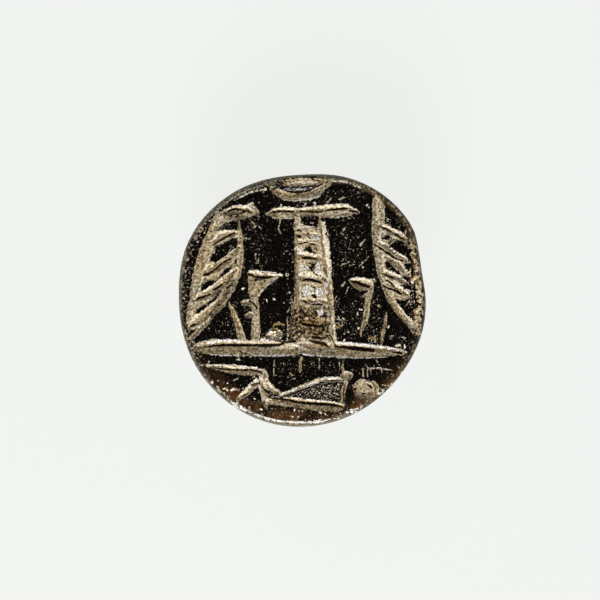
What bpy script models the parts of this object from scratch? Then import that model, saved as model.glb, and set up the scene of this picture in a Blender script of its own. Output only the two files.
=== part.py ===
"""Button seal of dark stone: a round engraved face with a pierced boss behind it.

Metres, +Z up. The seal lies on the flat end of its boss, and the origin is the middle of that
flat spot. The engraved face is level at the top, and the top of its picture is towards +Y.
"""
import math

import bmesh
import bpy

# The stone
FACE_WIDTH = 0.0180       # across the face, before the outline wanders
EDGE_HEIGHT = 0.0020      # upright edge between the face and the back
RIM_ROUND = 0.00050       # how far in from the edge the face starts to round over
RIM_DROP = 0.00055        # how far that rounding falls
BACK_DEPTH = 0.0030       # from the upright edge down to the neck of the boss
NECK_WIDTH = 0.0084
NECK_FILLET = 0.0005
BOSS_WIDTH = 0.0092
REST_WIDTH = 0.0070       # flat spot on the end of the boss

# The string hole, drilled through the boss from both sides
HOLE_WIDTH = 0.0017       # at the middle, where the two borings meet
HOLE_MOUTH = 0.0022
HOLE_FLOOR = 0.0015       # stone between the hole and the flat spot
HOLE_ROOF = 0.0009        # stone between the hole and the neck

# The picture is drawn in eighteenths of the face's width, from the middle of the face
DRAWING_UNIT = FACE_WIDTH / 18
STEP_LENGTH = 0.5         # between two sections of a stroke
CROWN = 0.25              # height of a cutter above the face, as a share of its width

# Each graver leaves its own section: how far its deepest line lies off the middle of the
# stroke (+1 is the edge on the left hand of the one who follows it), the width of its flat
# floor, and its depth, as shares of the half width, the width and the width
GRAVERS = {
    "leaning": (0.30, 0.12, 0.42),
    "upright": (0.00, 0.18, 0.42),
    "undercut": (-0.60, 0.10, 0.45),
    "scraper": (0.00, 0.45, 0.30),
}

# Radius of the face at some angles, in drawing units: the lapidary's circle wanders, and the
# edge is worn flat on the right, just above the middle
OUTLINE = (
    (0, 8.84), (12, 8.78), (22, 9.02), (33, 9.48), (50, 9.59), (70, 9.45), (92, 9.10),
    (125, 9.32), (152, 9.34), (180, 8.98), (215, 9.09), (255, 9.15), (290, 8.98), (320, 8.82),
    (345, 8.87),
)
OUTLINE_STEPS = 80
ARC_STEPS = 4


def clear_scene():
    for item in list(bpy.data.objects):
        bpy.data.objects.remove(item, do_unlink=True)
    for group in list(bpy.data.collections):
        bpy.data.collections.remove(group)


def new_collection(name):
    group = bpy.data.collections.new(name)
    bpy.context.scene.collection.children.link(group)
    return group


def stone_material():
    material = bpy.data.materials.new("dark_stone")
    material.use_nodes = True
    shader = material.node_tree.nodes["Principled BSDF"]
    shader.inputs["Base Color"].default_value = (0.020, 0.016, 0.012, 1.0)
    shader.inputs["Roughness"].default_value = 0.32
    shader.inputs["Metallic"].default_value = 0.0
    return material


def smooth_value(before, start, finish, after, t):
    """Catmull-Rom: from start to finish as t goes from 0 to 1."""
    slope_in = (finish - before) / 2
    slope_out = (after - start) / 2
    return (
        (2 * t**3 - 3 * t**2 + 1) * start
        + (t**3 - 2 * t**2 + t) * slope_in
        + (3 * t**2 - 2 * t**3) * finish
        + (t**3 - t**2) * slope_out
    )


def smooth_path(points, steps):
    """Evenly many places on a smooth line through two or more points."""
    ends = [points[0], *points, points[-1]]
    spans = len(points) - 1
    places = []
    for step in range(steps + 1):
        span = min(int(step * spans / steps), spans - 1)
        t = step * spans / steps - span
        places.append(tuple(smooth_value(*axis, t) for axis in zip(*ends[span:span + 4])))
    return places


def outline_radius(angle):
    """Radius of the face in metres at an angle in radians."""
    degrees = math.degrees(angle) % 360
    turns = [(a - 360, r) for a, r in OUTLINE[-2:]] + list(OUTLINE)
    turns += [(a + 360, r) for a, r in OUTLINE[:3]]
    for before, start, finish, after in zip(turns, turns[1:], turns[2:], turns[3:]):
        if start[0] <= degrees < finish[0]:
            t = (degrees - start[0]) / (finish[0] - start[0])
            return smooth_value(before[1], start[1], finish[1], after[1], t) * DRAWING_UNIT
    raise ValueError(degrees)


def boss_height():
    return HOLE_FLOOR + HOLE_WIDTH + HOLE_ROOF


def face_level():
    return boss_height() + BACK_DEPTH + EDGE_HEIGHT


def elliptic_arc(middle, reach, start, stop, steps=ARC_STEPS):
    """Points (radius, height) of an arc; the angles are in degrees, 0 pointing outwards."""
    points = []
    for step in range(steps + 1):
        angle = math.radians(start + (stop - start) * step / steps)
        points.append((middle[0] + reach[0] * math.cos(angle), middle[1] + reach[1] * math.sin(angle)))
    return points


def side_profile():
    """The seal's side from the face down to the flat spot."""
    edge = FACE_WIDTH / 2
    neck = NECK_WIDTH / 2
    boss = BOSS_WIDTH / 2
    rest = REST_WIDTH / 2
    belly = boss_height() / 2
    back_top = boss_height() + BACK_DEPTH
    rim = elliptic_arc((edge - RIM_ROUND, face_level() - RIM_DROP), (RIM_ROUND, RIM_DROP), 90, 0)
    dome_depth = BACK_DEPTH / math.sin(math.acos(neck / edge))
    back_end = math.degrees(math.acos((neck + NECK_FILLET) / edge))
    back = elliptic_arc((0, back_top), (edge, dome_depth), 0, -back_end, 2 * ARC_STEPS)
    waist = boss_height() - NECK_FILLET
    fillet = elliptic_arc((neck + NECK_FILLET, waist), (NECK_FILLET, back[-1][1] - waist), 90, 180)[1:]
    swell = []
    for step in range(1, ARC_STEPS + 1):
        t = step / ARC_STEPS
        bulge = (1 - math.cos(math.pi * t)) / 2
        swell.append((neck + (boss - neck) * bulge, waist + (belly - waist) * t))
    foot = elliptic_arc((rest, belly), (boss - rest, belly), 0, -90)[1:]
    return rim + back + fillet + swell + foot


def turned_mesh(name, profile, steps):
    """A profile of (radius, height) points turned about Z, with flat ends."""
    mesh = bpy.data.meshes.new(name)
    edges = [(i, i + 1) for i in range(len(profile) - 1)]
    mesh.from_pydata([(radius, 0, height) for radius, height in profile], edges, [])
    turned = bpy.data.objects.new(name, mesh)
    bpy.context.scene.collection.objects.link(turned)
    screw = turned.modifiers.new("turn", "SCREW")
    screw.axis = "Z"
    screw.steps = steps
    screw.render_steps = steps
    screw.use_merge_vertices = True
    screw.merge_threshold = 1e-6
    solid = evaluated_mesh(turned)
    body = bmesh.new()
    body.from_mesh(solid)
    bmesh.ops.holes_fill(body, edges=body.edges, sides=0)
    bmesh.ops.recalc_face_normals(body, faces=body.faces)
    body.to_mesh(solid)
    body.free()
    return solid


def evaluated_mesh(source):
    """The mesh of an object with its modifiers or bevel; the object itself is removed."""
    depsgraph = bpy.context.evaluated_depsgraph_get()
    mesh = bpy.data.meshes.new_from_object(source.evaluated_get(depsgraph))
    mesh.name = source.name
    bpy.data.objects.remove(source, do_unlink=True)
    return mesh


def stone_body(group):
    """The uncut stone: a turned form whose wandering outline grows with the radius."""
    mesh = turned_mesh("seal", side_profile(), OUTLINE_STEPS)
    edge = FACE_WIDTH / 2
    for vertex in mesh.vertices:
        radius = math.hypot(vertex.co.x, vertex.co.y)
        wander = outline_radius(math.atan2(vertex.co.y, vertex.co.x)) / edge - 1
        share = 1 + wander * radius / edge
        vertex.co.x *= share
        vertex.co.y *= share
    mesh.materials.append(stone_material())
    mesh.shade_smooth()
    mesh.set_sharp_from_angle(angle=math.radians(35))
    body = bpy.data.objects.new("seal", mesh)
    group.objects.link(body)
    return body


def add_cutter(group, name, mesh):
    cutter = bpy.data.objects.new(name, mesh)
    cutter.hide_render = True
    cutter.display_type = "WIRE"
    group.objects.link(cutter)
    return cutter


def string_hole(group):
    """Two borings that taper towards each other, along X through the boss."""
    reach = BOSS_WIDTH * 0.6
    taper = (HOLE_MOUTH - HOLE_WIDTH) / BOSS_WIDTH
    half = HOLE_WIDTH / 2
    profile = [(half + taper * reach, reach), (half, 0), (half + taper * reach, -reach)]
    cutter = add_cutter(group, "string_hole", turned_mesh("string_hole", profile, 32))
    cutter.rotation_euler = (0, math.radians(90), 0)
    cutter.location = (0, 0, HOLE_FLOOR + HOLE_WIDTH / 2)


def graver_section(graver):
    """The closed outline of a graver's cut, one unit wide where it meets the face."""
    lean, floor, depth = GRAVERS[graver]
    left = -lean / 2 - floor / 2
    right = -lean / 2 + floor / 2
    left_top = -0.5 - (left + 0.5) * CROWN / depth
    right_top = 0.5 + (0.5 - right) * CROWN / depth
    curve = bpy.data.curves.new(f"{graver}_section", "CURVE")
    curve.dimensions = "2D"
    spline = curve.splines.new("POLY")
    spline.points.add(3)
    corners = [(left_top, CROWN), (left, -depth), (right, -depth), (right_top, CROWN)]
    for point, (across, up) in zip(spline.points, corners):
        point.co = (across, up, 0, 1)
    spline.use_cyclic_u = True
    section = bpy.data.objects.new(f"{graver}_section", curve)
    bpy.context.scene.collection.objects.link(section)
    return section


class Engraver:
    """Cuts strokes and drilled hollows into the face; all sizes are in drawing units."""

    def __init__(self, group):
        self.group = group
        self.sections = {graver: graver_section(graver) for graver in GRAVERS}

    def stroke(self, name, points, width, start=0.15, finish=0.15, fullness=2.5, peak=0.5,
               graver="upright"):
        """One cut along a smooth line, widest at the share peak of its way."""
        length = sum(math.dist(a, b) for a, b in zip(points, points[1:]))
        steps = max(4, round(length / STEP_LENGTH))
        curve = bpy.data.curves.new(name, "CURVE")
        curve.dimensions = "3D"
        curve.twist_mode = "Z_UP"
        curve.bevel_mode = "OBJECT"
        curve.bevel_object = self.sections[graver]
        curve.use_fill_caps = True
        spline = curve.splines.new("POLY")
        spline.use_smooth = False
        spline.points.add(steps)
        for step, (point, (x, y)) in enumerate(zip(spline.points, smooth_path(points, steps))):
            t = step / steps
            off_peak = (peak - t) / peak if t < peak else (t - peak) / (1 - peak)
            end = start if t < peak else finish
            swell = end + (1 - end) * (1 - off_peak ** fullness)
            point.co = (x * DRAWING_UNIT, y * DRAWING_UNIT, face_level(), 1)
            point.radius = width * swell * DRAWING_UNIT
        cut = bpy.data.objects.new(name, curve)
        bpy.context.scene.collection.objects.link(cut)
        mesh = evaluated_mesh(cut)
        solid = bmesh.new()
        solid.from_mesh(mesh)
        bmesh.ops.remove_doubles(solid, verts=solid.verts, dist=1e-7)
        bmesh.ops.recalc_face_normals(solid, faces=solid.faces)
        solid.to_mesh(mesh)
        solid.free()
        add_cutter(self.group, name, mesh)

    def drill(self, name, x, y, width, depth):
        """A round shallow hollow."""
        ball = bmesh.new()
        bmesh.ops.create_uvsphere(ball, u_segments=20, v_segments=12, radius=width / 2 * DRAWING_UNIT)
        mesh = bpy.data.meshes.new(name)
        ball.to_mesh(mesh)
        ball.free()
        for vertex in mesh.vertices:
            vertex.co.z *= 2 * depth / width
        cutter = add_cutter(self.group, name, mesh)
        cutter.location = (x * DRAWING_UNIT, y * DRAWING_UNIT, face_level())

    def finish(self):
        for section in self.sections.values():
            bpy.data.objects.remove(section, do_unlink=True)


def at_height(path, y):
    """The place where a smooth line passes a height in the drawing."""
    places = smooth_path(path, 60)
    return min(places, key=lambda place: abs(place[1] - y))


def crescent_and_disc(engraver):
    """The crescent with a disc in it, at the top, which the edge of the face cuts off."""
    engraver.stroke("crescent", [(-2.45, 8.25), (-1.6, 7.64), (-0.4, 7.55), (1.0, 7.86), (2.15, 8.75)],
                    0.74, 0.2, 0.25, graver="leaning")
    engraver.stroke("disc", [(-1.6, 8.4), (-0.7, 8.55), (0.9, 8.62), (1.65, 8.7)], 0.66, 0.25, 0.2,
                    graver="scraper")


def pillar(engraver):
    """The stepped pillar between the winged figures, with the bar across its top."""
    left_rail = [(-0.45, 6.2), (-0.38, 4.5), (-0.42, 2.0), (-0.42, 0.2), (-0.6, -1.6), (-0.6, -3.1)]
    right_rail = [(1.15, 6.05), (1.38, 4.5), (1.57, 2.8), (1.82, 0.8), (2.05, -1.3), (2.38, -3.1)]
    engraver.stroke("left_rail", left_rail[:4], 0.46, 0.85, 0.95, graver="scraper")
    engraver.stroke("left_rail_foot", left_rail[3:], 0.70, 0.7, 0.8, peak=0.75, graver="scraper")
    engraver.stroke("right_rail", right_rail, 0.62, 0.15, 0.2, fullness=2, peak=0.45)
    rungs = [(5.22, 0.30), (4.78, 0.40), (4.32, 0.34), (3.18, 0.62), (1.68, 0.80), (-0.02, 0.45),
             (-1.50, 0.60), (-2.90, 0.34)]
    for number, (height, width) in enumerate(rungs, 1):
        fall = 0.2 if width > 0.5 else 0.12
        left = at_height(left_rail, height)
        right = at_height(right_rail, height - fall)
        middle = ((left[0] + right[0]) / 2, height)
        engraver.stroke(f"rung_{number}", [left, middle, right], width, 0.75, 0.7)
    engraver.stroke("bar_left", [(-2.72, 6.27), (-1.4, 6.32), (-0.4, 6.32)], 0.88, 0.1, 0.6,
                    peak=0.55, graver="leaning")
    engraver.stroke("bar_right", [(-0.7, 6.38), (1.0, 6.42), (2.6, 6.48), (3.55, 6.5)], 1.02, 0.4, 0.5,
                    peak=0.72, graver="leaning")
    engraver.stroke("bar_tip", [(3.0, 6.45), (3.5, 6.45), (4.08, 6.38)], 0.46, 0.8, 0.15,
                    peak=0.3, graver="leaning")
    engraver.stroke("pillar_foot", [(-1.45, -3.1), (-0.3, -2.92), (1.3, -3.25)], 0.52, 0.5, 0.4,
                    graver="scraper")


def ground(engraver):
    """The ground line under the figures: two long cuts that meet below the pillar."""
    engraver.stroke("ground_left", [(-8.05, -3.4), (-6.0, -3.34), (-3.0, -3.45), (-0.35, -3.5)],
                    1.16, 0.08, 0.75, fullness=3, peak=0.42, graver="leaning")
    engraver.stroke("ground_right", [(-0.45, -3.3), (1.5, -3.5), (4.3, -3.6), (7.6, -3.75)],
                    1.14, 0.6, 0.07, fullness=2.2, peak=0.52, graver="leaning")
    engraver.stroke("tick", [(-0.15, -4.0), (-0.2, -4.6), (-0.25, -5.3)], 0.27, 0.4, 0.25)


def left_winged_figure(engraver):
    """The winged figure on the left: head, back, breast and four long feathers."""
    back = [(-6.15, 6.2), (-6.5, 5.0), (-7.0, 3.8), (-7.5, 2.1), (-7.88, 0.5), (-8.35, -1.7)]
    breast = [(-4.68, 5.8), (-4.52, 4.2), (-4.5, 2.9), (-4.8, 1.6), (-5.8, -0.2)]
    engraver.stroke("left_crown", [(-6.25, 6.1), (-5.3, 6.45), (-4.6, 6.57), (-3.9, 6.4), (-3.2, 6.38)],
                    0.70, 0.25, 0.4, peak=0.55, graver="leaning")
    engraver.stroke("left_beak", [(-5.35, 5.85), (-4.4, 6.15), (-3.3, 6.32)], 0.44, 0.3, 0.5,
                    peak=0.6, graver="leaning")
    engraver.stroke("left_brow", [(-3.98, 6.72), (-3.78, 6.92), (-3.6, 6.92)], 0.42, 0.6, 0.6)
    engraver.stroke("left_beak_tip", [(-3.6, 6.7), (-3.38, 6.45), (-3.35, 6.2)], 0.45, 0.7, 0.7)
    engraver.stroke("left_back", back, 0.86, 0.5, 0.3, fullness=1.8, peak=0.5, graver="scraper")
    engraver.stroke("left_breast", breast, 0.42, 0.5, 0.5, peak=0.6)
    feathers = [
        ((-4.70, 4.86), (-5.75, 4.67), (-6.80, 4.00), 0.68),
        ((-4.55, 3.92), (-5.90, 2.62), (-7.40, 1.95), 0.92),
        ((-4.80, 2.30), (-6.10, 0.93), (-7.95, 0.00), 0.86),
        ((-4.80, 1.75), (-6.25, -0.35), (-8.30, -2.00), 0.90),
    ]
    for number, (root, middle, tip, width) in enumerate(feathers, 1):
        engraver.stroke(f"left_feather_{number}", [tip, middle, root], width, 0.3, 0.45, peak=0.45)
    engraver.stroke("left_tail", [(-8.3, -2.88), (-7.4, -1.98), (-6.5, -1.15)], 0.40, 0.3, 0.5)
    engraver.stroke("left_leg", [(-5.4, -0.02), (-4.82, -1.4), (-4.35, -3.0)], 0.62, 0.15, 0.95,
                    fullness=1.6, peak=0.92)


def right_winged_figure(engraver):
    """The winged figure on the right, with shorter feathers that end at the worn edge."""
    band = [(5.2, 7.6), (5.43, 6.4), (5.24, 4.7), (5.45, 3.1), (5.78, 1.6), (6.45, -0.1),
            (7.35, -1.25), (8.15, -2.1)]
    engraver.stroke("right_crown", band[:3], 0.92, 0.2, 0.7, peak=0.55, graver="scraper")
    engraver.stroke("right_back", band[2:], 0.66, 1.0, 0.85, fullness=1.5, peak=0.2,
                    graver="scraper")
    feathers = [
        ((5.30, 5.45), (6.65, 4.78), (7.80, 4.10), 0.56),
        ((5.20, 4.22), (6.30, 3.50), (7.65, 2.85), 0.74),
        ((5.80, 3.20), (6.80, 2.55), (7.50, 1.75), 0.56),
        ((5.50, 2.15), (6.60, 1.60), (7.68, 1.15), 0.58),
        ((5.70, 1.35), (6.75, 0.80), (7.68, 0.20), 0.70),
    ]
    for number, (root, middle, tip, width) in enumerate(feathers, 1):
        engraver.stroke(f"right_feather_{number}", [root, middle, tip], width, 0.5, 0.25, peak=0.45,
                        graver="leaning")
    engraver.stroke("right_fringe", [(7.9, 0.9), (7.92, -0.2), (7.86, -1.35)], 0.17, 0.5, 0.6)
    engraver.stroke("right_leg", [(6.03, -0.78), (5.86, -1.7), (5.6, -3.3)], 0.28, 0.3, 0.5, peak=0.4)


def left_flower(engraver):
    """The flower on the left: a flaring cup on a stem with two buds."""
    engraver.stroke("left_flower_lip", [(-4.02, 2.02), (-3.2, 1.9), (-1.5, 1.84)], 0.64, 0.35, 0.15,
                    peak=0.28, graver="undercut")
    engraver.stroke("left_flower_cup", [(-1.95, 1.62), (-2.9, 1.22), (-3.45, 0.7), (-3.55, 0.1)],
                    0.78, 0.25, 0.75, peak=0.65, graver="scraper")
    engraver.stroke("left_stem_top", [(-3.7, 1.9), (-3.62, 0.9), (-3.42, -1.0)], 0.70, 0.65, 0.7,
                    peak=0.5, graver="scraper")
    engraver.stroke("left_stem", [(-3.42, -0.9), (-3.42, -1.9), (-3.45, -2.95)], 0.68, 0.75, 1.0,
                    peak=0.95, graver="scraper")
    engraver.stroke("left_bud_1", [(-4.52, -0.2), (-4.1, -0.13), (-3.5, -0.3)], 0.50, 0.2, 0.8, peak=0.7)
    engraver.stroke("left_bud_2", [(-4.2, -1.1), (-3.9, -1.02), (-3.5, -1.0)], 0.42, 0.6, 0.9)
    engraver.stroke("left_clod", [(-2.7, -2.5), (-2.1, -2.55), (-1.5, -2.35)], 0.70, 0.3, 0.5,
                    peak=0.6, graver="scraper")


def right_flower(engraver):
    """The flower on the right, smaller and leaning in."""
    engraver.stroke("right_flower_lip", [(3.25, 1.5), (4.1, 1.22), (4.95, 1.1)], 0.96, 0.1, 0.5,
                    peak=0.62)
    engraver.stroke("right_flower_tip", [(4.7, 1.38), (5.0, 1.45), (5.22, 1.4)], 0.30, 0.9, 0.4, peak=0.3)
    engraver.stroke("right_stem", [(4.97, 1.3), (4.68, 0.0), (4.5, -1.2), (4.08, -2.6)], 0.50, 0.6, 0.15,
                    fullness=2, peak=0.48)
    engraver.stroke("right_bud", [(4.32, 0.25), (4.5, 0.32), (4.65, 0.3)], 0.28, 0.5, 0.7)


def lying_beast(engraver):
    """The beast that lies below the ground line, with a ball before it."""
    strokes = {
        "tail": ([(-7.15, -4.67), (-5.0, -4.95), (-2.7, -5.2)], 0.64, 0.12, 0.5, 0.62),
        "rump": ([(-2.75, -5.0), (-2.72, -5.9), (-1.5, -6.87)], 0.60, 0.45, 0.35, 0.4),
        "haunch": ([(-2.95, -5.6), (-2.8, -6.6), (-2.72, -7.7)], 0.60, 0.5, 0.35, 0.6),
        "hind_leg": ([(-2.9, -5.6), (-3.9, -6.43), (-4.85, -7.2)], 0.43, 0.7, 0.35, 0.5),
        "throat": ([(3.1, -5.8), (2.82, -6.7), (2.85, -7.65)], 0.42, 0.75, 0.75, 0.6),
        "head": ([(2.7, -5.5), (3.1, -5.43), (3.58, -5.35)], 0.75, 0.55, 0.3, 0.45),
        "ear": ([(2.82, -4.6), (2.85, -4.95), (2.9, -5.3)], 0.30, 0.3, 1.0, 0.8),
        "back": ([(1.35, -5.66), (0.0, -6.17), (-1.75, -6.85)], 0.40, 0.9, 0.4, 0.3),
        "neck": ([(2.9, -5.62), (2.1, -5.68), (1.3, -5.66)], 0.43, 1.0, 0.85, 0.3),
    }
    for part, (points, width, start, finish, peak) in strokes.items():
        graver = "leaning" if part in ("tail", "back", "neck") else "upright"
        engraver.stroke(f"beast_{part}", points, width, start, finish, peak=peak, graver=graver)
    engraver.stroke("beast_belly", [(-2.8, -7.25), (-1.0, -7.3), (1.0, -7.55), (2.85, -7.68)],
                    0.78, 0.4, 0.55, peak=0.7, graver="leaning")
    engraver.drill("ball", 4.30, -6.38, 1.45, 0.34)
    engraver.stroke("ball_edge", [(4.85, -5.88), (5.25, -6.2), (5.15, -6.95)], 0.52, 0.5, 0.65)


def build():
    clear_scene()
    part = new_collection("button_seal")
    cutters = new_collection("cutters")
    body = stone_body(part)
    string_hole(cutters)
    engraver = Engraver(cutters)
    for figure in (crescent_and_disc, pillar, ground, left_winged_figure, right_winged_figure,
                   left_flower, right_flower, lying_beast):
        figure(engraver)
    engraver.finish()
    carve = body.modifiers.new("carve", "BOOLEAN")
    carve.operation = "DIFFERENCE"
    carve.solver = "EXACT"
    carve.operand_type = "COLLECTION"
    carve.collection = cutters


build()
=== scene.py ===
import math

import bpy
import numpy as np
from mathutils import Matrix, Vector, noise
from mathutils.bvhtree import BVHTree


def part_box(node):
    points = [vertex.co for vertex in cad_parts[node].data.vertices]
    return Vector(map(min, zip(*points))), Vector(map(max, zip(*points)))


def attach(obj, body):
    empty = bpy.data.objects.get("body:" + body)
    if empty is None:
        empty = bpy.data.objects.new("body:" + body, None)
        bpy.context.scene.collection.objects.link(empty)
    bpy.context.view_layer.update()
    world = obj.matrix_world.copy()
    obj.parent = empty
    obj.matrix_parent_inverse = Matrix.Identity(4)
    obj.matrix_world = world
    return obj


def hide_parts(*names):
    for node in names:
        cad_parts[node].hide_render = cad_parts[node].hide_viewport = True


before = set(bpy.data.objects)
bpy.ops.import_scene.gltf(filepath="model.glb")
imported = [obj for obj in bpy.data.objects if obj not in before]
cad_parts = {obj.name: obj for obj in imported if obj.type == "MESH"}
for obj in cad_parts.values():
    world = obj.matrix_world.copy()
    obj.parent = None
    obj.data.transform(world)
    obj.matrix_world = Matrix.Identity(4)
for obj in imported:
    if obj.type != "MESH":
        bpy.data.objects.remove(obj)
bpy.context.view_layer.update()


# The stone, part one: what its carver and the ground left on the face, with the light and shade painted on it.
# The seal is one piece of soft near-black stone. Its face was polished, then cut with gravers and
# a small drill, and burial left it scratched, pitted and flecked.

# Lengths are in millimetres, and those in the long lists of paths are in hundredths of one
MM = 0.001
solid = BVHTree.FromObject(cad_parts["seal"], bpy.context.evaluated_depsgraph_get())
face_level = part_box("seal")[1].z / MM

# What lies on the face is worked out on a square raster of it
PITCH = 0.025
SIDE = 768
LAST_CELL = SIDE - 1.001
reach = PITCH * (SIDE - 1) / 2
line = np.linspace(-reach, reach, SIDE)
across, up = np.meshgrid(line, line)


def hit(origin, direction):
    """Where a ray in millimetres meets the solid, or None."""
    found = solid.ray_cast(Vector(origin) * MM, Vector(direction))[0]
    return None if found is None else found / MM


def smooth(low, high, value):
    """From 0 at low to 1 at high, with no corner at either."""
    t = np.clip((value - low) / (high - low), 0, 1)
    return t * t * (3 - 2 * t)


def at(field, x, y):
    """A field of the face read between its cells, at places in millimetres."""
    column = np.clip((x + reach) / PITCH, 0, LAST_CELL)
    row = np.clip((y + reach) / PITCH, 0, LAST_CELL)
    i, j = column.astype(int), row.astype(int)
    u, v = column - i, row - j
    lower = field[j, i] * (1 - u) + field[j, i + 1] * u
    upper = field[j + 1, i] * (1 - u) + field[j + 1, i + 1] * u
    return lower * (1 - v) + upper * v


waves = np.fft.fftfreq(SIDE, PITCH)
wave_squared = waves[:, None] ** 2 + waves[None, :] ** 2


def blur(field, width):
    """A field softened over this width."""
    keep = np.exp(-2 * (math.pi * width) ** 2 * wave_squared)
    return np.fft.ifft2(np.fft.fft2(field) * keep).real


def lumps(seed, width):
    """A random field with lumps of about this width, of mean 0 and deviation 1."""
    field = blur(np.random.default_rng(seed).standard_normal((SIDE, SIDE)), width / 3)
    return (field - field.mean()) / field.std()


NO_STONE = -2.0
relief = np.full((SIDE, SIDE), NO_STONE)
for row, y in enumerate(line):
    for column, x in enumerate(line):
        found = hit((x, y, face_level + 1), (0, 0, -1))
        if found is not None:
            relief[row, column] = found.z - face_level

# The outline, read from outside at one depth below the face
EDGE_DEPTH = 1.2
OUTSIDE = 20
turns = np.radians(np.arange(-180, 181))
edge_radii = np.array([
    hit((OUTSIDE * math.cos(a), OUTSIDE * math.sin(a), face_level - EDGE_DEPTH),
        (-math.cos(a), -math.sin(a), 0)).xy.length
    for a in turns
])


def edge_radius(angle):
    """How far out the edge lies at an angle."""
    return np.interp((angle + math.pi) % (2 * math.pi) - math.pi, turns, edge_radii)


angle = np.arctan2(up, across)
inward = edge_radius(angle) - np.hypot(across, up)

# The uncut face and rim, by how far in from the edge they lie: few places there stand higher
RIM_WIDTH = 1.5
RIM_STEP = 0.03
UNCUT_PERCENTILE = 85
profile_inward = np.arange(RIM_STEP, RIM_WIDTH, RIM_STEP)
profile_level = []
for d in profile_inward:
    levels_there = at(relief, (edge_radii - d) * np.cos(turns), (edge_radii - d) * np.sin(turns))
    profile_level.append(np.percentile(levels_there, UNCUT_PERCENTILE))
uncut = np.interp(inward, profile_inward, profile_level, left=-EDGE_DEPTH, right=0.0)

# Ragged edges: off the rim, the carved level is read a little to the side of its place
SWAY, JAG = 0.02, 0.014
flat = smooth(0.35, 0.75, inward)
shift_x = (SWAY * lumps(1, 0.3) + JAG * lumps(2, 0.12)) * flat
shift_y = (SWAY * lumps(3, 0.3) + JAG * lumps(4, 0.12)) * flat
level = at(relief, across + shift_x, up + shift_y)
depth = np.clip(uncut - level, 0, 1)
# How bare of polish a place is, and how far a drawn line wavers there
bare = smooth(0.01, 0.04, depth + 0.008 * lumps(5, 0.1) * smooth(0, 0.01, depth))
wobble = 0.016 * lumps(6, 0.16) + 0.01 * lumps(7, 0.08)


def window(points, margin):
    """The part of the raster round some points."""
    low = [min(p[k] for p in points) - margin for k in (0, 1)]
    high = [max(p[k] for p in points) + margin for k in (0, 1)]
    i0, j0 = (int(np.clip((v + reach) / PITCH, 0, SIDE)) for v in low)
    i1, j1 = (int(np.clip((v + reach) / PITCH + 2, 0, SIDE)) for v in high)
    return slice(j0, j1), slice(i0, i1)


def gap_to(x, y, start, end):
    """How far places are from a straight piece, and how far along it they lie, from 0 to 1."""
    run_x, run_y = end[0] - start[0], end[1] - start[1]
    along = np.clip(((x - start[0]) * run_x + (y - start[1]) * run_y) / (run_x ** 2 + run_y ** 2), 0, 1)
    return np.hypot(x - start[0] - along * run_x, y - start[1] - along * run_y), along


def millimetres(paths):
    """Paths that are noted in hundredths of a millimetre, as the long lists below are."""
    return [[tuple(value / 100 for value in point) for point in path] for path in paths]


def draw(paths, inner, outer):
    """A field of drawn lines. Each point of a path has x, y and half its line's width there. A line is
    full within inner half-widths of its middle and gone at outer."""
    field = np.zeros((SIDE, SIDE))
    for path in millimetres(paths):
        part = window(path, 0.6)
        x, y = across[part], up[part]
        for start, end in zip(path, path[1:]):
            gap, along = gap_to(x, y, start, end)
            share = np.abs(gap + wobble[part]) / (start[2] + along * (end[2] - start[2]))
            field[part] = np.maximum(field[part], 1 - smooth(inner, outer, share))
    return field


def fill(shapes, soft=0.03, ragged=2.0):
    """A field of closed shapes with ragged edges."""
    field = np.zeros((SIDE, SIDE))
    for shape in millimetres(shapes):
        part = window(shape, 0.5)
        x, y = across[part], up[part]
        nearest = np.full(x.shape, np.inf)
        within = np.zeros(x.shape, bool)
        for start, end in zip(shape, shape[1:] + shape[:1]):
            nearest = np.minimum(nearest, gap_to(x, y, start, end)[0])
            if start[1] != end[1]:
                crossing = start[0] + (y - start[1]) * (end[0] - start[0]) / (end[1] - start[1])
                within ^= ((start[1] > y) != (end[1] > y)) & (x < crossing)
        deep = np.where(within, nearest, -nearest) + ragged * wobble[part]
        field[part] = np.maximum(field[part], smooth(-soft, soft, deep))
    return field


# Ground scraped bare between the deep cuts: the left wing, the pillar, the right wing
SCRAPE_DEPTH = 0.045
SCRAPED = (
    [(-645, 610), (-550, 615), (-475, 585), (-462, 400), (-466, 260), (-530, 80), (-630, -90), (-810, -230),
     (-815, -80), (-805, 80), (-780, 220), (-745, 340), (-700, 425), (-685, 490), (-665, 550)],
    [(-62, 610), (120, 600), (150, 500), (175, 380), (195, 240), (210, 100), (220, -60), (230, -200),
     (240, -290), (-85, -275), (-75, -120), (-60, 0), (-60, 300)],
    [(500, 690), (585, 690), (588, 555), (650, 520), (730, 470), (765, 430), (730, 415), (760, 290),
     (750, 180), (765, 110), (760, 20), (720, -5), (675, 0), (760, -110), (820, -180), (800, -225),
     (700, -120), (610, 0), (550, 160), (520, 280), (498, 450)],
    [(500, 730), (560, 715), (585, 680), (500, 680)],
)
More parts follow.
